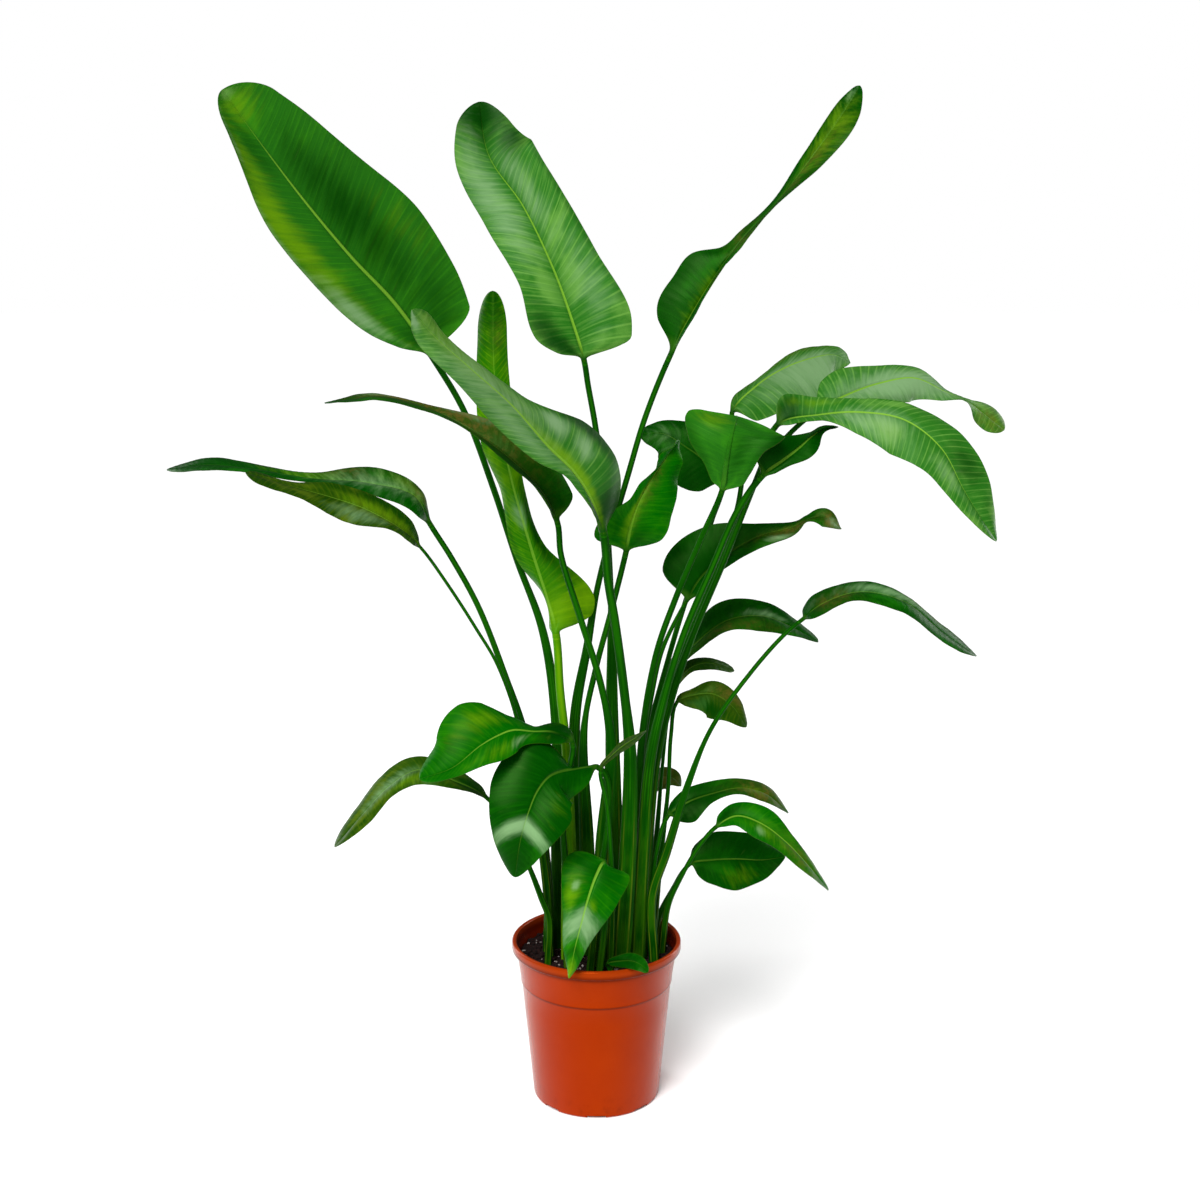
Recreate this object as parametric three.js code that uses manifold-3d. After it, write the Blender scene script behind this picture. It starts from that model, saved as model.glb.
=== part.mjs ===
// A potted bird of paradise: thirty leaves, each a stalk and a blade grown as one piece, standing in plain
// holes in the soil of a plastic nursery pot. Millimetres, +Z up, -Y toward the viewer. The origin is the
// centre of the pot's flat base.

import * as THREE from "three";
import { mergeVertices } from "three/addons/utils/BufferGeometryUtils.js";
import Module from "manifold-3d";

const wasm = await Module();
wasm.setup();

// Driving dimensions of the pot.
const POT_HEIGHT = 232;
const RIM_RADIUS = 120;
const COLLAR_RADIUS = 107.5; // at the step under the collar
const COLLAR_HEIGHT = 172;
const BASE_RADIUS = 90;
const WALL = 2.2;
const LIP_HEIGHT = 13;
const LIP_OUT = 3; // how far the rolled lip stands out of the collar
const STEP = 1.2; // how far the collar stands out of the body below it
const FOOT_HEIGHT = 6; // the floor's height over the surface that the pot stands on
const FOOT_RING_WIDTH = 8;
const CENTRE_FOOT_RADIUS = 28;
const DRAIN_COUNT = 8;
const DRAIN_RADIUS = 8;
const DRAIN_RING_RADIUS = 54;
const DRAIN_SIDES = 12;
const NOTCH_WIDTH = 26; // of the gaps in the foot ring that let water out
const NOTCH_DEPTH = 22; // of the boxes that cut them, across the foot ring
const THROUGH = 4; // length of the drains' cutters, as a multiple of the floor's height
const POT_SIDES = 48;
const FLARE = 1.3; // how the collar curves outward on its way up
const FLARE_LEVELS = [0.25, 0.5, 0.75]; // shares of the collar's height where its wall bends
const EDGE = 0.8; // of the pot's small bevels
const LIP_ROUND = 3; // how far the lip's rounded edges reach
const LIP_ROLL = 5; // how far the lip reaches inward at its top
const BASE_ROUND = 3.5; // height of the rounded edge under the wall
const CENTRE_FOOT_LEAN = 3; // how much wider the centre foot is at the floor
const FOOT_RING_LEAN = 1; // the same for the foot ring
const FLOOR_ROUND = 4; // of the corner between the floor and the wall

// Driving dimensions of the soil and of the holes that the stalks stand in.
const SOIL_TOP = 208;
const SOIL_RELIEF = 2.2;
const HOLE_DEPTH = 42;
const CLEARANCE = 0.35;
const HOLE_ROOM = 0.8; // how much wider than the foot its hole is on every side
const HOLE_RISE = 9; // how far the holes' cutters stand out of the soil
const SOIL_RINGS = [103, 92, 76, 60, 44, 28, 12, 0]; // radii of the rings of points in the soil's surface
const SOIL_SHOULDER = 4; // height of the soil's sloping edge
const SWELL_LENGTHS = [17, 14, 11]; // of the low swells in the soil's surface, in millimetres per radian
const SWELL_PHASES = [0.6, -0.4];
const SWELL_PEAK = 1.5; // the swells' greatest sum, before SOIL_RELIEF scales them

// Driving dimensions that all leaves share.
const BLADE_THICKNESS = 0.9;
const LOBE_REACH = 0.3; // how far the blade's foot runs back beside the stalk, as a share of its width
const LOBE_FADE = 4; // how soon that reach fades along the blade
const FOOT_ROUNDING = 0.9; // length of the blade's rounded foot, as a share of its half width there
const TIP_ROUNDING = 1.2;
const MOST_ROUNDING = 0.2; // the longest that either may be, as a share of the blade's length
const LEAST_ROUNDING = 0.03;
const LEAST_TIP_ROUNDING = 0.08;
const LEAST_HALF_WIDTH = 1;
const MARGIN_SHIFT = 2; // how far the right margin's waves run ahead of the left one's, in radians
const TIP_RIB = 0.5; // the rib's height under the blade at the tip
const SHEATH_END = 0.6; // share of the stalk over which its clasping foot narrows

// The photo's camera: pixels of a 1200-pixel picture, millimetres and degrees.
const VIEW = { x: 5, back: 2260, height: 1190, pitch: 11.7, focal: 1692, centre: 600 };

const GREEN = {
  deep: { color: 0x1f5c14, roughness: 0.34 },
  bright: { color: 0x4f9a1c, roughness: 0.36 },
  young: { color: 0x86b52a, roughness: 0.4 },
  grey: { color: 0x5d8a5c, roughness: 0.3 },
  olive: { color: 0x55702a, roughness: 0.42 },
};
const POT_COLOUR = { color: 0xc2521c, roughness: 0.42 };
const SOIL_COLOUR = { color: 0x2b1c14, roughness: 0.95 };

// The leaves. foot is where the stalk stands in the soil and sheath its half width and half depth there.
// stalk and rib are the points that the photo shows, as pixels and the millimetres toward the viewer; the
// rib starts where the blade does. thick is the stalk's radius halfway and at the blade. left and right are
// the blade's half widths in pixels at each point of the rib, seen from foot to tip. lean is how many
// millimetres each margin stands out toward the viewer. cup is the arch of each half as a share of its
// width, and waves holds the margin's height in millimetres, its count and its phase. lobe stands for
// LOBE_REACH on the leaves that have their own.
const LEAVES = [
  {
    name: "leaf_top_left",
    green: GREEN.bright,
    foot: [-56, 22],
    sheath: [9, 5],
    thick: [5.5, 4.2],
    stalk: [
      [557, 850, -22], [556, 721, -36], [543, 632, -55], [517, 560, -70], [494, 490, -80],
      [464, 411, -74],
    ],
    rib: [
      [432, 357, -48], [396, 305, -20], [352, 258, 14], [306, 203, 50], [264, 148, 84],
      [222, 90, 112],
    ],
    left: [8, 39, 46, 45, 29, 15],
    right: [50, 69, 82, 70, 56, 34],
    lean: [18, 14],
    cup: -0.05,
    waves: [3, 2.5, 0.4],
  },
  {
    name: "leaf_top_centre",
    green: GREEN.grey,
    foot: [20, 40],
    sheath: [13, 4.5],
    thick: [5, 4],
    stalk: [
      [614, 850, -40], [612, 720, -41], [611, 600, -42], [605, 500, -40], [595, 424, -38],
      [588, 385, -37],
    ],
    rib: [
      [584, 360, -36], [572, 320, -40], [553, 268, -50], [523, 206, -66], [489, 156, -86],
      [479, 102, -112],
    ],
    left: [8, 40, 38, 42, 35, 20],
    right: [44, 58, 46, 41, 44, 18],
    lean: [12, 12],
    cup: 0.07,
    waves: [3, 2.5, 1.7],
  },
  {
    name: "leaf_diagonal",
    green: GREEN.grey,
    foot: [34, -44],
    sheath: [13, 5],
    thick: [8, 5.5],
    stalk: [[628, 850, 44], [630, 752, 45], [624, 690, 47], [615, 622, 52], [608, 580, 60]],
    rib: [
      [603, 531, 74], [590, 497, 87], [574, 472, 101], [548, 446, 124], [512, 405, 168],
      [470, 368, 212], [432, 334, 238], [412, 310, 250],
    ],
    left: [5, 5, 9, 20, 26, 21, 16, 8],
    right: [12, 35, 43, 42, 12, 10, 9, 9],
    lean: [12, -44],
    lobe: 0.1,
    cup: 0.08,
    waves: [3, 3, 0.9],
  },
  {
    name: "leaf_young_upright",
    green: GREEN.young,
    foot: [-38, -22],
    sheath: [12, 6],
    thick: [8, 5.5],
    stalk: [[569, 860, 20], [566, 748, 17], [560, 690, 12]],
    rib: [
      [556, 634, 4], [547, 600, -6], [531, 548, -20], [514, 490, -36], [503, 440, -48],
      [494, 370, -60], [493, 291, -66],
    ],
    left: [8, 2, 17, 14, 22, 17, 16],
    right: [30, 46, 14, 11, 14, 15, 13],
    lean: [-16, -4],
    cup: 0.08,
    waves: [3, 2.5, 2.2],
  },
  {
    name: "leaf_dark_left",
    green: GREEN.deep,
    foot: [8, -42],
    sheath: [12.5, 5],
    thick: [6, 4],
    stalk: [[603, 850, 45], [611, 745, 50], [601, 685, 50], [580, 617, 48], [561, 555, 44]],
    rib: [
      [557, 521, 42], [539, 489, 37], [511, 460, 30], [476, 434, 16], [432, 410, -5],
      [380, 397, -30], [350, 400, -43], [325, 403, -54],
    ],
    left: [5, 3, 3, 3, 4, 1.5, 3.5, 1.5],
    right: [22, 28, 30, 18, 6, 2, 3.5, 1.5],
    lean: [34, -18],
    cup: 0.06,
    waves: [2.5, 2.5, 0],
  },
  {
    name: "leaf_far_left_upper",
    green: GREEN.deep,
    foot: [-70, 5],
    sheath: [6.5, 4.5],
    thick: [5, 3.8],
    stalk: [[548, 880, -4], [526, 738, -9], [504, 672, -13], [478, 606, -16], [451, 557, -18]],
    rib: [
      [430, 524, -19], [415, 496, -22], [370, 483, -34], [308, 478, -52], [252, 469, -70],
      [206, 465, -84], [167, 470, -96],
    ],
    left: [5, 13, 11, 5, 3, 7, 2],
    right: [2, 9, 15, 7, 4, 8, 2],
    lean: [26, -26],
    cup: 0.08,
    waves: [2.5, 2.5, 1.2],
  },
  {
    name: "leaf_far_left_lower",
    green: GREEN.olive,
    foot: [-66, -14],
    sheath: [6.5, 4],
    thick: [2.6, 2.2],
    stalk: [[546, 880, 17], [522, 738, 20], [498, 666, 24], [477, 630, 30], [448, 585, 36]],
    rib: [
      [421, 548, 40], [399, 528, 46], [365, 509, 58], [330, 497, 72], [290, 486, 88],
      [246, 473, 104],
    ],
    left: [3, 4, 18, 15, 9, 4],
    right: [3, 13, 17, 13, 6, 3],
    lean: [24, -14],
    cup: 0.08,
    waves: [2.5, 2.5, 2.6],
  },
  {
    name: "leaf_low_left_olive",
    green: GREEN.olive,
    foot: [-68, -38],
    sheath: [5, 4],
    thick: [3.5, 3],
    stalk: [[549, 919, 38], [541, 897, 36], [527, 862, 30], [508, 826, 22]],
    rib: [[487, 798, 14], [455, 781, 8], [418, 770, 2], [388, 787, 0], [362, 815, 4], [335, 847, 10]],
    left: [3, 8, 14, 11, 10, 3],
    right: [4, 12, 13, 13, 9, 3],
    lean: [14, -14],
    cup: 0.08,
    waves: [2, 2, 0.3],
  },
  {
    name: "leaf_low_left_bright",
    green: GREEN.bright,
    foot: [-40, -48],
    sheath: [6, 4.5],
    thick: [4.5, 4],
    stalk: [[566, 880, 51], [563, 810, 54], [570, 768, 58]],
    rib: [
      [572, 742, 62], [554, 732, 68], [533, 731, 76], [513, 730, 90], [497, 736, 101],
      [480, 746, 113], [452, 768, 132], [420, 779, 148],
    ],
    left: [6, 12, 12, 22, 24, 21, 11, 6],
    right: [9, 11, 3, 14, 37, 46, 33, 14],
    lean: [10, -22],
    cup: 0.08,
    waves: [2.5, 2.5, 1.1],
  },
  {
    name: "leaf_top_right",
    green: GREEN.deep,
    foot: [-30, 14],
    sheath: [10, 5],
    thick: [5, 3.8],
    stalk: [
      [578, 850, -16], [575, 719, -20], [587, 648, -26], [597, 590, -27], [612, 530, -24],
      [628, 475, -18], [645, 418, -14],
    ],
    rib: [
      [670, 356, -10], [690, 318, -16], [706, 291, -23], [719, 271, -30], [731, 254, -36],
      [745, 236, -44], [778, 201, -62], [812, 157, -84], [840, 118, -102], [860, 86, -116],
    ],
    left: [4, 34, 36, 33, 11, 8, 4, 8, 12, 8],
    right: [1.5, 1.5, 1.5, 1.5, 2, 4, 3, 12, 17, 11],
    lean: [-14, 20],
    cup: 0.05,
    waves: [2, 3, 0.2],
  },
  {
    name: "leaf_inner_wavy",
    green: GREEN.bright,
    foot: [-12, -4],
    sheath: [12, 5],
    thick: [4.5, 4],
    stalk: [[587, 850, 3], [584, 730, 4], [596, 668, 5], [611, 612, 6]],
    rib: [
      [626, 552, 6], [631, 527, 2], [640, 500, -8], [655, 474, -22], [668, 455, -36],
      [679, 440, -48],
    ],
    left: [36, 32, 9, 5, 4, 3],
    right: [10, 33, 36, 27, 16, 5],
    lean: [10, -10],
    cup: 0.06,
    waves: [4, 3.5, 0.5],
  },
  {
    name: "leaf_low_centre",
    green: GREEN.deep,
    foot: [-8, -62],
    sheath: [6, 4.5],
    thick: [4.5, 4],
    stalk: [[600, 880, 60], [609, 810, 57], [606, 776, 57]],
    rib: [
      [597, 767, 60], [572, 769, 78], [550, 776, 100], [538, 790, 114], [530, 808, 127],
      [521, 838, 138], [515, 877, 142],
    ],
    left: [8, 24, 34, 38, 43, 32, 10],
    right: [1, 2, 42, 47, 43, 30, 10],
    lean: [8, -8],
    cup: 0.08,
    waves: [2.5, 2.5, 0.8],
  },
  {
    name: "leaf_narrow_young",
    green: GREEN.olive,
    foot: [20, -60],
    sheath: [4.5, 4],
    thick: [3.5, 3],
    stalk: [[612, 880, 67], [607, 805, 74]],
    rib: [[601, 768, 80], [613, 754, 82], [624, 745, 84], [635, 738, 86], [646, 731, 87]],
    left: [2, 3, 4, 3.5, 1],
    right: [2, 4, 5, 4, 1],
    lean: [8, -8],
    cup: 0.04,
    waves: [0.6, 1.5, 0],
  },
  {
    name: "leaf_front_hanging",
    green: GREEN.bright,
    foot: [4, -78],
    sheath: [5, 4.5],
    thick: [4.5, 4],
    stalk: [[604, 930, 79], [607, 892, 82]],
    rib: [
      [604, 862, 90], [596, 876, 106], [588, 899, 120], [582, 921, 128], [575, 948, 134],
      [569, 978, 138],
    ],
    left: [26, 33, 29, 21, 11, 3],
    right: [18, 35, 28, 20, 12, 3],
    lean: [-6, -6],
    lobe: 0.4,
    cup: 0.07,
    waves: [2, 2.5, 0.4],
  },
  {
    name: "leaf_rim_small",
    green: GREEN.deep,
    foot: [22, -78],
    sheath: [3.5, 3],
    thick: [2.5, 2.2],
    stalk: [[608, 966, 80]],
    rib: [[608, 963, 86], [620, 961, 98], [632, 961, 110], [641, 965, 120], [648, 972, 127]],
    left: [3, 6, 8, 7, 3],
    right: [3, 6, 8, 7, 3],
    lean: [2, 2],
    cup: 0.04,
    waves: [0.6, 1.5, 0],
  },
  {
    name: "leaf_bright_cup",
    green: GREEN.bright,
    foot: [40, -6],
    sheath: [6.5, 4.5],
    thick: [5, 4],
    stalk: [[637, 850, 6], [642, 740, 8], [656, 655, 10], [675, 600, 13], [700, 541, 19]],
    rib: [[722, 491, 26], [726, 466, 34], [730, 443, 36], [734, 427, 28], [737, 416, 4]],
    left: [8, 22, 43, 50, 36],
    right: [16, 26, 36, 51, 50],
    lean: [-10, 8],
    cup: -0.08,
    waves: [2.5, 2.5, 0.9],
  },
  {
    name: "leaf_dark_inner",
    green: GREEN.deep,
    foot: [58, -30],
    sheath: [10, 4.5],
    thick: [5.5, 4.5],
    stalk: [
      [643, 850, 28], [650, 762, 27], [664, 698, 26], [684, 634, 25], [712, 568, 25],
      [737, 512, 25],
    ],
    rib: [
      [762, 476, 24], [782, 461, 18], [800, 447, 7], [811, 437, -2], [822, 430, -12],
      [838, 427, -26],
    ],
    left: [22, 30, 16, 6, 3, 2],
    right: [6, 7, 15, 13, 4, 2],
    lean: [6, 6],
    cup: 0.05,
    waves: [2, 2, 0.6],
  },
  {
    name: "leaf_right_arching",
    green: GREEN.grey,
    foot: [62, -12],
    sheath: [10, 4.5],
    thick: [5, 4],
    stalk: [
      [646, 850, 12], [656, 755, 9], [672, 694, 5], [695, 630, 0], [722, 566, -6], [745, 508, -12],
      [766, 455, -18],
    ],
    rib: [
      [777, 425, -14], [819, 415, 8], [860, 412, 36], [905, 420, 62], [941, 448, 84],
      [965, 492, 98], [996, 541, 108],
    ],
    left: [30, 20, 12, 17, 24, 26, 8],
    right: [4, 6, 22, 36, 30, 14, 6],
    lean: [-20, 16],
    cup: 0.07,
    waves: [3, 2.5, 2],
  },
  {
    name: "leaf_right_curled_tip",
    green: GREEN.grey,
    foot: [60, 6],
    sheath: [10, 4.5],
    thick: [4.5, 3.5],
    stalk: [
      [645, 850, -8], [654, 755, -13], [670, 694, -20], [692, 630, -28], [719, 566, -36],
      [744, 505, -46], [777, 448, -56],
    ],
    rib: [
      [815, 412, -62], [849, 394, -74], [880, 383, -90], [915, 378, -108], [946, 392, -124],
      [967, 401, -133], [984, 414, -141], [1004, 430, -150],
    ],
    left: [14, 27, 19, 9, 2.5, 2.5, 9, 9],
    right: [8, 12, 20, 24, 9, 2.5, 11, 10],
    lean: [-18, 14],
    cup: 0.07,
    waves: [2.5, 2.5, 1],
  },
  {
    name: "leaf_back_grey",
    green: GREEN.grey,
    foot: [58, 24],
    sheath: [10, 4.5],
    thick: [4.5, 3.5],
    stalk: [
      [643, 850, -27], [652, 754, -34], [668, 694, -42], [690, 632, -52], [716, 566, -64],
      [738, 505, -76], [742, 455, -88],
    ],
    rib: [
      [732, 413, -100], [757, 385, -118], [784, 368, -140], [812, 358, -164], [834, 355, -186],
      [850, 363, -202],
    ],
    left: [6, 6, 8, 12, 8, 3],
    right: [20, 34, 42, 46, 32, 6],
    lean: [-18, 12],
    cup: 0.07,
    waves: [2.5, 2.5, 0.6],
  },
  {
    name: "leaf_back_pointing_left",
    green: GREEN.deep,
    foot: [56, 42],
    sheath: [8, 4.5],
    thick: [4.5, 3.5],
    stalk: [
      [641, 850, -46], [646, 752, -58], [660, 690, -68], [676, 632, -80], [697, 566, -92],
      [712, 520, -102],
    ],
    rib: [[722, 484, -108], [706, 462, -112], [686, 447, -118], [664, 434, -126], [640, 434, -134]],
    left: [16, 34, 34, 22, 8],
    right: [12, 26, 27, 15, 4],
    lean: [6, -10],
    cup: 0.06,
    waves: [2, 2, 0.2],
  },
  {
    name: "leaf_mid_right",
    green: GREEN.deep,
    foot: [36, 16],
    sheath: [6, 4],
    thick: [3.5, 3],
    stalk: [[634, 860, -20], [642, 760, -32], [652, 695, -44], [663, 648, -52]],
    rib: [
      [686, 602, -56], [703, 575, -58], [730, 552, -57], [762, 535, -50], [792, 527, -42],
      [808, 519, -38], [825, 517, -33], [841, 529, -28],
    ],
    left: [24, 41, 34, 12, 6, 4, 8, 3],
    right: [8, 9, 12, 11, 8, 4, 9, 3],
    lean: [-6, 12],
    cup: 0.06,
    waves: [2.5, 2.5, 1.4],
  },
  {
    name: "leaf_mid_right_lower",
    green: GREEN.deep,
    foot: [30, 50],
    sheath: [6, 4],
    thick: [3.5, 3],
    stalk: [[628, 860, -56], [638, 775, -74], [652, 715, -88]],
    rib: [
      [668, 672, -100], [695, 644, -114], [726, 621, -124], [762, 616, -132], [792, 627, -140],
      [818, 642, -146],
    ],
    left: [3, 9, 20, 14, 9, 4],
    right: [6, 6, 11, 15, 9, 3],
    lean: [-10, 14],
    cup: 0.06,
    waves: [2, 2, 0.5],
  },
  {
    name: "leaf_far_right_low",
    green: GREEN.deep,
    foot: [81, -32],
    sheath: [7, 4.5],
    thick: [4, 2.8],
    stalk: [
      [652, 897, 34], [667, 851, 38], [686, 790, 42], [711, 729, 52], [752, 671, 64],
      [785, 634, 78],
    ],
    rib: [
      [803, 619, 84], [822, 604, 92], [860, 592, 108], [905, 602, 128], [942, 632, 146],
      [976, 656, 160],
    ],
    left: [1.5, 13, 10, 7, 5, 2],
    right: [2, 9, 9, 10, 8, 2],
    lean: [-20, 20],
    cup: 0.08,
    waves: [2, 2.5, 0.7],
  },
  {
    name: "leaf_small_upper",
    green: GREEN.olive,
    foot: [66, 60],
    sheath: [5, 4],
    thick: [3, 2.5],
    stalk: [[654, 860, -70], [662, 770, -84], [668, 715, -94]],
    rib: [[674, 687, -100], [690, 668, -106], [706, 663, -114], [722, 666, -122], [734, 671, -128]],
    left: [5, 7, 6, 4, 2],
    right: [4, 4, 7, 5, 2],
    lean: [-10, 10],
    cup: 0.05,
    waves: [1, 1.5, 0],
  },
  {
    name: "leaf_brown",
    green: GREEN.olive,
    foot: [80, 14],
    sheath: [5, 4],
    thick: [3.5, 2.8],
    stalk: [[659, 870, -17], [668, 790, -22], [671, 735, -26]],
    rib: [[677, 702, -30], [694, 695, -30], [713, 694, -28], [732, 706, -24], [746, 727, -20]],
    left: [3, 7, 13, 11, 3],
    right: [4, 14, 24, 20, 5],
    lean: [-8, 8],
    cup: 0.06,
    waves: [1.5, 2, 0.9],
  },
  {
    name: "leaf_olive_behind",
    green: GREEN.olive,
    foot: [30, 74],
    sheath: [5, 4],
    thick: [3, 2.5],
    stalk: [[628, 870, -84], [634, 825, -94]],
    rib: [[641, 800, -102], [652, 785, -110], [663, 777, -116], [673, 778, -120], [681, 786, -124]],
    left: [5, 9, 10, 8, 2],
    right: [5, 8, 13, 10, 2],
    lean: [-6, 6],
    cup: 0.05,
    waves: [1, 1.5, 0.4],
  },
  {
    name: "leaf_low_right",
    green: GREEN.deep,
    foot: [84, -12],
    sheath: [5, 4],
    thick: [3.5, 3],
    stalk: [[652, 895, 12], [657, 850, 10]],
    rib: [
      [668, 816, 6], [688, 802, 0], [711, 794, -8], [740, 788, -18], [766, 794, -28],
      [788, 813, -36],
    ],
    left: [3, 12, 13, 9, 8, 2],
    right: [8, 20, 9, 6, 8, 2],
    lean: [-8, 10],
    cup: 0.06,
    waves: [1.5, 2, 0.2],
  },
  {
    name: "leaf_low_right_dark",
    green: GREEN.deep,
    foot: [86, 32],
    sheath: [5, 4],
    thick: [3.5, 3],
    stalk: [[658, 920, -33], [672, 890, -36]],
    rib: [[690, 864, -40], [712, 860, -44], [737, 859, -50], [762, 860, -56], [785, 857, -62]],
    left: [8, 26, 27, 22, 4],
    right: [8, 24, 31, 20, 4],
    lean: [-6, 6],
    cup: 0.06,
    waves: [1.5, 2, 1.1],
  },
  {
    name: "leaf_low_right_bright",
    green: GREEN.bright,
    foot: [93, 0],
    sheath: [5, 4],
    thick: [3.5, 3],
    stalk: [[668, 905, 2], [682, 875, 6], [700, 845, 12]],
    rib: [
      [716, 827, 18], [737, 816, 26], [762, 824, 36], [786, 842, 46], [808, 865, 54],
      [828, 890, 60],
    ],
    left: [4, 13, 17, 9, 6, 2],
    right: [3, 9, 16, 11, 8, 2],
    lean: [-8, 12],
    cup: 0.07,
    waves: [1.5, 2, 0.6],
  },
];

// Where the rings of a leaf's surface stand: along the blade as shares of its length, and across each ring.
const BLADE_STATIONS = [0, 0.025, 0.07, 0.14, 0.26, 0.38, 0.5, 0.62, 0.74, 0.85, 0.93, 0.98, 1];
const LONGEST_STALK_STEP = 95;
const ACROSS = [-1, -0.5, 0, 0.5, 1];
const BLEND = 0.07; // share of the blade over which the stalk's round section flattens into it
const SLOPE = 1e-3; // step along the blade used to measure the surface's direction
const SIDE_SLOPE = 1e-2; // the same across it
const RAIL_SAMPLES = 400; // for measuring a rail's length
const WELD = 1e-3; // how close points are that are made one

const CAMERA = new THREE.Vector3(VIEW.x, -VIEW.back, VIEW.height);
const PITCH = THREE.MathUtils.degToRad(VIEW.pitch);

// The point that the photo shows at a pixel, at a given distance toward the viewer from the pot's axis.
function seen([column, row, toward]) {
  const right = (column - VIEW.centre) / VIEW.focal;
  const up = (VIEW.centre - row) / VIEW.focal;
  const ahead = Math.cos(PITCH) + up * Math.sin(PITCH);
  const rise = up * Math.cos(PITCH) - Math.sin(PITCH);
  const reach = (VIEW.back - toward) / ahead;
  return new THREE.Vector3(VIEW.x + right * reach, -toward, VIEW.height + rise * reach);
}

function depthOf(point) {
  const away = point.clone().sub(CAMERA);
  return away.y * Math.cos(PITCH) - away.z * Math.sin(PITCH);
}

// A value between the listed ones, read off a smooth curve through them.
function between(values, share) {
  const curve = new THREE.SplineCurve(values.map((value, index) => new THREE.Vector2(index, value)));
  return curve.getPoint(share).y;
}

// The line that a leaf's stalk and rib follow, from the soil's surface to the blade's tip.
function railOf(leaf) {
  const [x, y] = leaf.foot;
  const ground = new THREE.Vector3(x, y, SOIL_TOP + SOIL_RELIEF);
  const points = [ground, ...leaf.stalk.map(seen), ...leaf.rib.map(seen)];
  const curve = new THREE.CatmullRomCurve3(points);
  const bladeStart = (1 + leaf.stalk.length) / (points.length - 1);
  return { curve, bladeStart };
}

// An upright place in a leaf's hole, at a height.
function footPlace(leaf, height) {
  const [x, y] = leaf.foot;
  const point = new THREE.Vector3(x, y, height);
  const along = new THREE.Vector3(0, 0, 1);
  const right = new THREE.Vector3(1, 0, 0);
  const face = new THREE.Vector3(0, -1, 0);
  return { point, along, right, face };
}

// The directions at a place on the rail: along it, to its right in the photo and toward the viewer.
function directions(rail, t) {
  const point = rail.curve.getPoint(t);
  const along = rail.curve.getTangent(t);
  const sight = point.clone().sub(CAMERA).normalize();
  const right = sight.clone().cross(along).normalize();
  const face = right.clone().cross(along).normalize();
  return { point, along, sight, right, face };
}

// The shares of a blade's length that its rounded foot and its rounded tip take.
function roundings(leaf) {
  let length = 0;
  for (let index = 1; index < leaf.rib.length; index += 1) {
    const [column, row] = leaf.rib[index];
    const [lastColumn, lastRow] = leaf.rib[index - 1];
    length += Math.hypot(column - lastColumn, row - lastRow);
  }
  const meanWidth = (index) => (leaf.left.at(index) + leaf.right.at(index)) / 2;
  return [
    THREE.MathUtils.clamp((FOOT_ROUNDING * meanWidth(0)) / length, LEAST_ROUNDING, MOST_ROUNDING),
    THREE.MathUtils.clamp((TIP_ROUNDING * meanWidth(-1)) / length, LEAST_TIP_ROUNDING, MOST_ROUNDING),
  ];
}

// How much of its full width a blade has there: a rounded foot and a rounded tip.
function fullness(leaf, share) {
  const [footLength, tipLength] = roundings(leaf);
  const foot = Math.min(1, share / footLength);
  const tip = Math.min(1, (1 - share) / tipLength);
  return Math.sqrt(foot * (2 - foot)) * Math.sqrt(tip * (2 - tip));
}

// A point of the blade's middle surface; side runs from -1 at the left margin to 1 at the right one.
function bladePoint(leaf, rail, share, side) {
  const place = directions(rail, rail.bladeStart + (1 - rail.bladeStart) * share);
  const hand = side < 0 ? 0 : 1;
  const reach = Math.abs(side);
  const full = fullness(leaf, share);
  const pixels = Math.max(0, between(hand ? leaf.right : leaf.left, share));
  const width = Math.max(LEAST_HALF_WIDTH, (pixels * full * depthOf(place.point)) / VIEW.focal);
  const lean = leaf.lean[hand] * full;
  const half = place.right.clone().multiplyScalar(hand ? width : -width);
  half.addScaledVector(place.sight, -lean);
  const out = hand ? half.clone() : half.clone().negate();
  const face = out.cross(place.along).normalize();
  const [height, count, phase] = leaf.waves;
  const turn = 2 * Math.PI * count * share + phase + MARGIN_SHIFT * hand;
  const wave = height * full * reach * reach * Math.sin(turn);
  const arch = leaf.cup * half.length() * 4 * reach * (1 - reach);
  const back = (leaf.lobe ?? LOBE_REACH) * half.length() * reach * reach * (1 - share) ** LOBE_FADE * full;
  return place.point
    .addScaledVector(half, reach)
    .addScaledVector(face, arch + wave)
    .addScaledVector(place.along, -back);
}

// The direction that the middle surface faces at a point, toward the viewer.
function bladeFace(leaf, rail, share, side) {
  const a = Math.max(0, share - SLOPE);
  const b = Math.min(1, share + SLOPE);
  const lengthwise = bladePoint(leaf, rail, b, side).sub(bladePoint(leaf, rail, a, side));
  const l = Math.max(-1, side - SIDE_SLOPE);
  const r = Math.min(1, side + SIDE_SLOPE);
  const crosswise = bladePoint(leaf, rail, share, r).sub(bladePoint(leaf, rail, share, l));
  return crosswise.cross(lengthwise).normalize();
}

// The stalk's half width and half depth at a share of its length.
function stalkSize(leaf, share) {
  const [halfway, top] = leaf.thick;
  const clasp = THREE.MathUtils.clamp(1 - (share / SHEATH_END) ** 2, 0, 1);
  const plain = THREE.MathUtils.lerp(halfway, top, share);
  return leaf.sheath.map((size) => THREE.MathUtils.lerp(plain, size, clasp));
}

// A ring of the stalk's oval section, in the same order as a ring of the blade.
function stalkRing(place, [halfWidth, halfDepth]) {
  const count = 2 * ACROSS.length;
  return Array.from({ length: count }, (_, index) => {
    const turn = Math.PI * (1 - (2 * index + 1) / count);
    return place.point
      .clone()
      .addScaledVector(place.right, halfWidth * Math.cos(turn))
      .addScaledVector(place.face, halfDepth * Math.sin(turn));
  });
}

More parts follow.
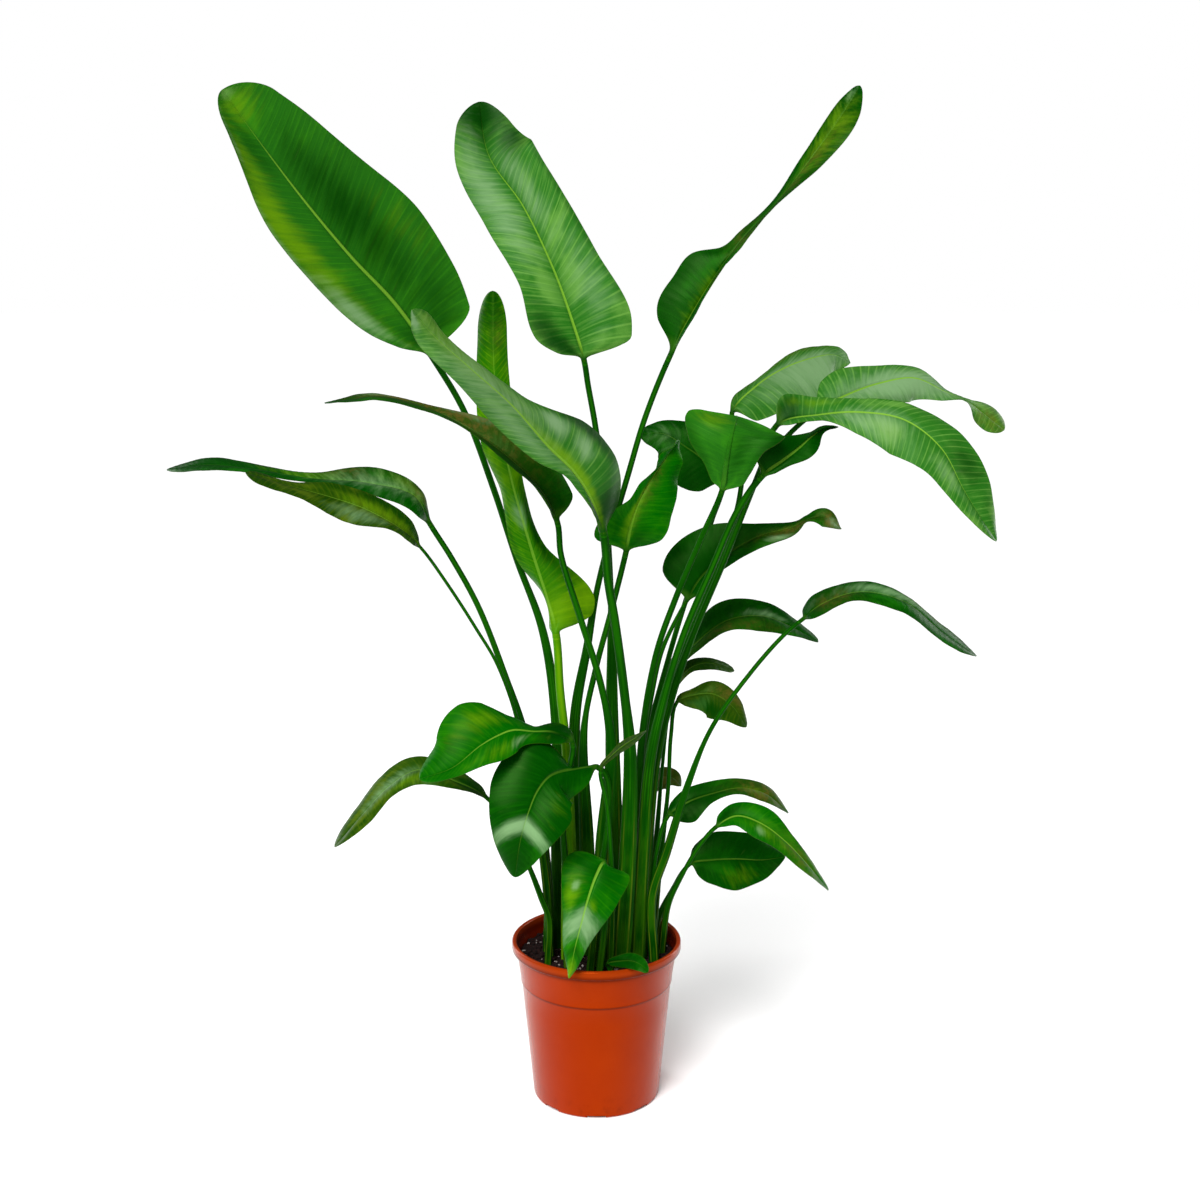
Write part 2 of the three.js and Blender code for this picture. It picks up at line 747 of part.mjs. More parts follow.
// A ring of the blade: across its near face from left to right, and back across its far face. The rib
// thickens the middle of the underside, which is the near face where cup is negative.
function bladeRing(leaf, rail, share) {
  const underside = leaf.cup < 0 ? 1 : -1;
  const rib = THREE.MathUtils.lerp(leaf.thick[1], TIP_RIB, share);
  const faceAt = (side, turned) => {
    const middle = side === 0 && turned === underside;
    const offset = BLADE_THICKNESS / 2 + (middle ? rib : 0);
    const normal = bladeFace(leaf, rail, share, side);
    return bladePoint(leaf, rail, share, side).addScaledVector(normal, turned * offset);
  };
  return [...ACROSS.map((side) => faceAt(side, 1)), ...ACROSS.toReversed().map((side) => faceAt(side, -1))];
}

function leafRings(leaf, rail) {
  const lengths = rail.curve.getLengths(RAIL_SAMPLES);
  const whole = lengths.at(-1);
  const stalkShare = lengths[Math.round(rail.bladeStart * RAIL_SAMPLES)] / whole;
  const steps = Math.ceil((stalkShare * whole) / LONGEST_STALK_STEP);
  const footLevels = [SOIL_TOP - HOLE_DEPTH + CLEARANCE, SOIL_TOP + SOIL_RELIEF];
  const rings = footLevels.map((level) => stalkRing(footPlace(leaf, level), leaf.sheath));
  for (let step = 1; step < steps; step += 1) {
    const share = step / steps;
    const place = directions(rail, rail.curve.getUtoTmapping(share * stalkShare));
    rings.push(stalkRing(place, stalkSize(leaf, share)));
  }
  for (const share of BLADE_STATIONS) {
    const mix = THREE.MathUtils.smoothstep(share, 0, BLEND);
    const place = directions(rail, rail.bladeStart + (1 - rail.bladeStart) * share);
    const round = stalkRing(place, stalkSize(leaf, 1));
    const flat = bladeRing(leaf, rail, share);
    rings.push(round.map((point, index) => point.lerp(flat[index], mix)));
  }
  return rings;
}

// A closed surface over the rings. The near and the far face of a blade are split along the same diagonals.
function skin(rings) {
  const count = rings[0].length;
  const half = count / 2;
  const positions = rings.flat().flatMap((point) => point.toArray());
  const faces = [];
  for (let ring = 0; ring + 1 < rings.length; ring += 1) {
    for (let index = 0; index < count; index += 1) {
      const a = ring * count + index;
      const b = ring * count + ((index + 1) % count);
      const c = b + count;
      const d = a + count;
      const far = index >= half;
      faces.push(...(far ? [a, b, d, b, c, d] : [a, b, c, a, c, d]));
    }
  }
  const last = (rings.length - 1) * count;
  for (let index = 0; index + 1 < half; index += 1) {
    const across = count - 1 - index;
    faces.push(index, across, index + 1, across, across - 1, index + 1);
    const [near, far] = [last + index, last + across];
    faces.push(near, near + 1, far, far, near + 1, far - 1);
  }
  const geometry = new THREE.BufferGeometry();
  geometry.setAttribute("position", new THREE.Float32BufferAttribute(positions, 3));
  geometry.setIndex(faces);
  return geometry;
}

// Booleans: closed geometry to a solid and back.
function solid(geometry) {
  const bare = geometry.clone();
  for (const extra of ["normal", "uv"]) {
    bare.deleteAttribute(extra);
  }
  const merged = mergeVertices(bare, WELD);
  const vertProperties = new Float32Array(merged.attributes.position.array);
  return new wasm.Manifold(
    new wasm.Mesh({ numProp: 3, vertProperties, triVerts: new Uint32Array(merged.index.array) }),
  );
}

function geometryOf(made) {
  const mesh = made.getMesh();
  const geometry = new THREE.BufferGeometry();
  geometry.setAttribute("position", new THREE.Float32BufferAttribute(mesh.vertProperties, 3));
  geometry.setIndex(Array.from(mesh.triVerts));
  return geometry;
}

// A shape turned about the vertical axis, from [radius, height] points that run up its outside.
function turned(profile, sides) {
  const geometry = new THREE.LatheGeometry(profile.map(([r, z]) => new THREE.Vector2(r, z)), sides);
  return geometry.rotateX(Math.PI / 2);
}

function wallRadius(height) {
  const share = Math.min(1, height / COLLAR_HEIGHT);
  const body = THREE.MathUtils.lerp(BASE_RADIUS, COLLAR_RADIUS - STEP, share);
  if (height <= COLLAR_HEIGHT) {
    return body;
  }
  const flare = (height - COLLAR_HEIGHT) / (POT_HEIGHT - COLLAR_HEIGHT);
  const rim = RIM_RADIUS - LIP_OUT;
  return THREE.MathUtils.lerp(COLLAR_RADIUS, rim, flare ** FLARE);
}

function potGeometry() {
  const lipFoot = POT_HEIGHT - LIP_HEIGHT;
  const ceiling = FOOT_HEIGHT - WALL; // of the hollow under the floor
  const flares = FLARE_LEVELS.map((share) => THREE.MathUtils.lerp(COLLAR_HEIGHT, POT_HEIGHT, share));
  const under = [
    [0, 0],
    [CENTRE_FOOT_RADIUS, 0],
    [CENTRE_FOOT_RADIUS + CENTRE_FOOT_LEAN, ceiling],
    [BASE_RADIUS - FOOT_RING_WIDTH - FOOT_RING_LEAN, ceiling],
    [BASE_RADIUS - FOOT_RING_WIDTH, 0],
    [BASE_RADIUS - BASE_ROUND, 0],
    [BASE_RADIUS - EDGE, EDGE],
    [wallRadius(BASE_ROUND), BASE_ROUND],
  ];
  const outside = [
    [wallRadius(COLLAR_HEIGHT), COLLAR_HEIGHT - EDGE],
    [COLLAR_RADIUS, COLLAR_HEIGHT + EDGE],
    ...flares.map((height) => [wallRadius(height), height]),
    [wallRadius(lipFoot), lipFoot],
    [RIM_RADIUS - EDGE, lipFoot + EDGE],
    [RIM_RADIUS, lipFoot + LIP_ROUND],
    [RIM_RADIUS, POT_HEIGHT - LIP_ROUND],
    [RIM_RADIUS - LIP_ROUND / 2, POT_HEIGHT - EDGE],
    [RIM_RADIUS - LIP_ROUND, POT_HEIGHT],
    [RIM_RADIUS - LIP_ROLL, POT_HEIGHT - EDGE],
  ];
  const inside = [
    ...flares.toReversed().map((height) => [wallRadius(height) - WALL, height]),
    [wallRadius(COLLAR_HEIGHT) - WALL, COLLAR_HEIGHT],
    [wallRadius(FOOT_HEIGHT + FLOOR_ROUND) - WALL, FOOT_HEIGHT + FLOOR_ROUND],
    [wallRadius(FOOT_HEIGHT) - WALL - FLOOR_ROUND, FOOT_HEIGHT],
    [0, FOOT_HEIGHT],
  ];
  let pot = solid(turned([...under, ...outside, ...inside], POT_SIDES));
  for (let index = 0; index < DRAIN_COUNT; index += 1) {
    const turn = (2 * Math.PI * index) / DRAIN_COUNT;
    const length = THROUGH * FOOT_HEIGHT;
    const drain = new THREE.CylinderGeometry(DRAIN_RADIUS, DRAIN_RADIUS, length, DRAIN_SIDES);
    drain.rotateX(Math.PI / 2);
    drain.translate(DRAIN_RING_RADIUS, 0, 0);
    drain.rotateZ(turn + Math.PI / DRAIN_COUNT);
    const notch = new THREE.BoxGeometry(NOTCH_DEPTH, NOTCH_WIDTH, 2 * ceiling);
    notch.translate(BASE_RADIUS - FOOT_RING_WIDTH / 2, 0, 0);
    notch.rotateZ(turn - Math.PI / 2);
    pot = pot.subtract(solid(drain)).subtract(solid(notch));
  }
  return geometryOf(pot);
}

// The soil's surface: low swells and a slight hollow toward the wall.
function soilRelief(x, y) {
  const [across, deep, slanting] = SWELL_LENGTHS;
  const [start, turn] = SWELL_PHASES;
  const crossed = Math.sin(x / across + start) * Math.cos(y / deep + turn);
  const swell = crossed + Math.sin((x + 2 * y) / slanting) / 2;
  return (SOIL_RELIEF * swell) / SWELL_PEAK;
}

function soilGeometry() {
  const gap = WALL + CLEARANCE;
  const foot = FOOT_HEIGHT + CLEARANCE;
  const shoulder = SOIL_TOP - SOIL_SHOULDER;
  const profile = [
    [0, foot],
    [wallRadius(foot) - gap - FLOOR_ROUND - CLEARANCE, foot],
    [wallRadius(foot + FLOOR_ROUND) - gap, foot + FLOOR_ROUND + CLEARANCE],
    [wallRadius(COLLAR_HEIGHT) - gap, COLLAR_HEIGHT],
    [wallRadius(shoulder) - gap, shoulder],
    ...SOIL_RINGS.map((radius) => [radius, SOIL_TOP]),
  ];
  const geometry = turned(profile, POT_SIDES);
  const position = geometry.attributes.position;
  for (let index = 0; index < position.count; index += 1) {
    if (position.getZ(index) > shoulder + EDGE) {
      position.setZ(index, SOIL_TOP + soilRelief(position.getX(index), position.getY(index)));
    }
  }
  let soil = solid(geometry);
  for (const leaf of LEAVES) {
    soil = soil.subtract(solid(holeFor(leaf)));
  }
  return geometryOf(soil);
}

// The plain hole that a leaf's foot stands in, a little wider all round than the foot.
function holeFor(leaf) {
  const room = leaf.sheath.map((size) => size + HOLE_ROOM);
  const levels = [SOIL_TOP - HOLE_DEPTH, SOIL_TOP + HOLE_RISE];
  return skin(levels.map((level) => stalkRing(footPlace(leaf, level), room)));
}

function finished(name, geometry, look) {
  const flat = geometry.index ? geometry.toNonIndexed() : geometry;
  flat.computeVertexNormals();
  const mesh = new THREE.Mesh(flat, new THREE.MeshStandardMaterial({ ...look, metalness: 0 }));
  mesh.name = name;
  return mesh;
}

const plant = new THREE.Group();
plant.add(finished("pot", potGeometry(), POT_COLOUR));
plant.add(finished("soil", soilGeometry(), SOIL_COLOUR));
for (const leaf of LEAVES) {
  plant.add(finished(leaf.name, skin(leafRings(leaf, railOf(leaf))), leaf.green));
}

export default plant;
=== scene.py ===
"""A potted bird of paradise: thirty leaves standing in the soil of a plastic nursery pot.

Run as a script inside Blender. Metres, +Z up, -Y toward the viewer.
The origin is the centre of the pot's base.
"""

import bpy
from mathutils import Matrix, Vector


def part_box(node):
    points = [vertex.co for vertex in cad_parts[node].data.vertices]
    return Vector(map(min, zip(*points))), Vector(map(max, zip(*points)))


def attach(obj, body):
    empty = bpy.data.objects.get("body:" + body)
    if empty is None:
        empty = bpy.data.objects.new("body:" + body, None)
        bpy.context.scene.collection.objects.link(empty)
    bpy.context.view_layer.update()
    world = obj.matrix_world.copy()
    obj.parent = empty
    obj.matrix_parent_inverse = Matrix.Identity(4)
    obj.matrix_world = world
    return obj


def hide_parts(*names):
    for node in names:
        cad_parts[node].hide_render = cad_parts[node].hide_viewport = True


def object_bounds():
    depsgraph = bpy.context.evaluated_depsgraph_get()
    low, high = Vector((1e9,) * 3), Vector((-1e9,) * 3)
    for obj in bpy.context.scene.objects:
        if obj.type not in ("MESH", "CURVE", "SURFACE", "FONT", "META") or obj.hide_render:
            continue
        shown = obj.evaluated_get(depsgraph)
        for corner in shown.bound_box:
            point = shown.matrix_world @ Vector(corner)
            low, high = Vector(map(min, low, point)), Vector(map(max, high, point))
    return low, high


bl_info = {
    "name": "Potted bird of paradise",
    "version": (1, 0, 0),
    "blender": (4, 5, 0),
    "location": "View3D > Sidebar > Plant",
    "description": "Builds the leaves, the pot, the soil and the stage of a potted bird of paradise",
    "category": "Object",
}

import math
from types import SimpleNamespace

import bmesh
import bpy
import numpy as np
from bpy.props import FloatProperty, FloatVectorProperty, IntProperty, PointerProperty
from mathutils import Matrix, Vector, noise

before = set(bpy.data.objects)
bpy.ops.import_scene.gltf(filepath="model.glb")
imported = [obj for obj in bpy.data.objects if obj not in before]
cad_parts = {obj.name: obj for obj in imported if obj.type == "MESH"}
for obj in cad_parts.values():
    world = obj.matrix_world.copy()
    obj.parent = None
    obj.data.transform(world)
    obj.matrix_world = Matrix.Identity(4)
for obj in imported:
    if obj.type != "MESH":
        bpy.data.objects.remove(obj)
CAD_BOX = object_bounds()

MM = 0.001
BOX_MARGIN = 5e-5  # kept between the leaves and the sides of the frame's box
BODY = "root"

# The photo's camera: metres and degrees, and pixels of a 1200-pixel picture.
PHOTO_SIDE = 1200
PHOTO_FOCAL = 1692
PHOTO_CENTRE = PHOTO_SIDE / 2
CAMERA = np.array([0.005, -2.26, 1.19])
PITCH = math.radians(11.7)
SENSOR_WIDTH = 36  # millimetres
WHITE = (1.0, 1.0, 1.0, 1.0)

# The pot, from the frame where its box gives the size.
POT_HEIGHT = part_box("pot")[1].z
RIM_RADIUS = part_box("pot")[1].x
COLLAR_RADIUS = 0.1075
COLLAR_HEIGHT = 0.172
BASE_RADIUS = 0.090
WALL = 0.0022
LIP_HEIGHT = 0.013
LIP_OUT = 0.003
STEP = 0.0012
FOOT_HEIGHT = 0.006
FOOT_RING_WIDTH = 0.008
CENTRE_FOOT_RADIUS = 0.028
DRAIN_COUNT = 8
DRAIN_RADIUS = 0.008
DRAIN_RING_RADIUS = 0.054
NOTCH_WIDTH = 0.026
NOTCH_EXTRA = 0.006  # how much deeper a notch is cut than twice the foot ring's width
POT_SIDES = 192
FLOOR_ROUND = 0.004  # of the corner between the floor and the wall
FLARE = 1.3  # how the collar curves outward on its way up
LIP_FOOT = POT_HEIGHT - LIP_HEIGHT

# Small forms of the pot's profile; pairs are a round's width and height.
CENTRE_FOOT_SLOPE = 0.003
RING_SLOPE = 0.001
RING_ROUND = (0.0006, 0.0004)
HEEL_ROUND = (0.003, 0.0034)
PLAIN_WALL_FOOT = 0.012
STEP_ROUND = (STEP, 0.0006)
STEP_ROUND_DROP = 0.0009
COLLAR_ROUND = (0.0005, 0.0009)
COLLAR_ROUND_MIDDLE = (0.0003, 0.0006)  # inward from the collar's side and up from its foot
LIP_UNDERCUT = 0.0002
LIP_FOOT_ROUND = (0.0014, 0.0016)
LIP_TOP_ROUND = (0.0034, 0.0035)
LIP_SIDE_TOP = 0.0065  # under the rim, like the next one
LIP_INSIDE_FOOT = 0.006

SOIL_TOP = 0.208
SOIL_RELIEF = 0.0022
SOIL_GAP = 0.0004  # between the soil and the pot's wall
SOIL_EDGE_LEVEL = SOIL_TOP - 0.004  # the wall's width there gives the width of the soil's edge
SOIL_EDGE_DROP = 0.005
LUMPS_PER_METRE = 90
PEAT_GRAIN = 420.0  # grains in a metre, like the next one
CRUMB_GRAIN = 260.0
CRUMB_SIZES = (0.0010, 0.0042)  # least and most radius, like the next one
PERLITE_SIZES = (0.0008, 0.0019)
HOLE_DEPTH = 0.042
HOLE_GAP = 0.35 * MM  # under a stalk, over its hole's floor
GRAIN_GAP = 0.0012  # kept between loose grains and stalks
RIM_GRAIN_GAP = 0.004  # kept between loose grains and the pot's wall

# What all leaves share.
BLADE_THICKNESS = 0.0009
MARGIN_THICKNESS = 0.0006
FOOT_ROUNDING = 0.9
TIP_ROUNDING = 1.2
MOST_ROUNDING = 0.2
LEAST_ROUNDING = 0.03
LEAST_TIP_ROUNDING = 0.08
LEAST_HALF_WIDTH = 0.001
MARGIN_SHIFT = 2
TIP_RIB = 0.0005
RIB_CHANNEL = 0.35  # how deep the rib is hollowed on the upper side, as a share of its radius
SHEATH_END = 0.6
BLEND = 0.07  # share of the blade over which the stalk's round section flattens into it
RIPPLE_COUNT = 11  # small ripples along each margin, on top of its waves
RIPPLE_HEIGHT = 0.08  # as a share of the waves' height
VEIN_SWEEP = 0.5  # how far a side vein runs forward, as a share of the half width that it crosses
MOST_SWEEP = 0.17  # the same as a share of the blade's length
LEAST_VEIN = 0.4  # height of the faintest side vein, as a share of the relief
VEIN_START = 1.2  # in rib radii from the rib, like the next one
VEIN_FULL = 5
VEIN_FADE = 0.6  # how much a side vein flattens between this share of the half width and the margin
VEIN_FADE_START = 0.75
ROWS_PER_VEIN = 4
TANGENT_STEP = 1e-4
SEED_STEP = 0.37  # sets the leaves' noise apart

# A stalk's channel: depths as shares of the stalk's radius, widths and places as angles.
CHANNEL_DEPTH = 0.1
CLASP_CHANNEL_DEPTH = 0.16
CHANNEL_WIDTH = 0.34
CHANNEL_END = 0.15
EDGE_HEIGHT = 0.3
EDGE_PLACE = 0.66
EDGE_WIDTH = 0.16
EDGE_TINT_PLACE = 0.2  # as a share of half a turn
FAR_FROM_RIB = 20
FAR_FROM_MARGIN = 1

# Columns of points over half a blade: on the rib as shares of its half width, and from there outward.
RIB_COLUMNS = np.array([0, 0.45, 0.8, 1])
OUTER_COLUMNS = np.array([0.05, 0.12, 0.2, 0.3, 0.41, 0.52, 0.63, 0.74, 0.84, 0.92, 0.97, 1])
RIB_REACH = 1.1  # how far the rib's columns reach, in rib radii
RIB_SHARES = (0.02, 0.5)  # the least and the most of the half width that they take
RING_POINTS = 2 * (2 * (len(RIB_COLUMNS) + len(OUTER_COLUMNS)) - 1)
RING_TURNS = math.pi * (1 - (2 * np.arange(RING_POINTS) + 1) / RING_POINTS)

# Rows of points: extra ones at the blade's ends, and how finely a rail is measured and divided.
END_SHARES = np.array([0.003, 0.015, 0.04, 0.08, 0.14, 0.22, 0.34, 0.5, 0.7])
CLOSEST_ROWS = 2e-4
BLADE_READINGS = 600
LEAST_BLADE_ROWS = 12
STALK_READINGS = 500
STALK_STEP = 0.008
LEAST_STALK_ROWS = 8
BURIED_STEP = 0.01  # depth of the row of points under the soil's surface
CREASE = math.radians(40)
POT_CREASE = math.radians(32)
GRAIN_CREASE = math.radians(60)

UPPER_SKIN, LOWER_SKIN, STALK_SKIN = range(3)
MIX_INPUTS = (0, 6, 7)  # of a Mix node that mixes colours: the share and both colours
MIX_OUTPUT = 2


def paint(red, green, blue):
    """A colour of 0 to 255 numbers, as a screen shows it, in the linear numbers that a shader takes."""
    screen = np.array([red, green, blue]) / 255
    linear = np.where(screen <= 0.04045, screen / 12.92, ((screen + 0.055) / 1.055) ** 2.4)
    return (*linear.tolist(), 1.0)


def leaf(name, green, foot, sheath, thick, stalk, rib, left, right, lean, cup, waves, lobe=0.3):
    """A leaf as the photo shows it.

    foot is where its stalk stands in the soil and sheath its half width and half depth there, in
    millimetres. stalk and rib are points in the photo, as column, row and millimetres toward the viewer.
    thick is the stalk's radius halfway and at the blade. left and right are the blade's half widths in
    pixels, seen from foot to tip. lean is how far each margin stands out toward the viewer, cup the arch
    of each half, waves the margin's height, count and phase, and lobe how far each half reaches back
    beside the stalk.
    """
    height, count, phase = waves
    return SimpleNamespace(
        name=name, green=green, foot=np.array(foot) * MM, sheath=np.array(sheath) * MM,
        thick=np.array(thick) * MM, stalk=stalk, rib=rib, left=left, right=right,
        lean=np.array(lean) * MM, cup=cup, waves=(height * MM, count, phase), lobe=lobe,
    )


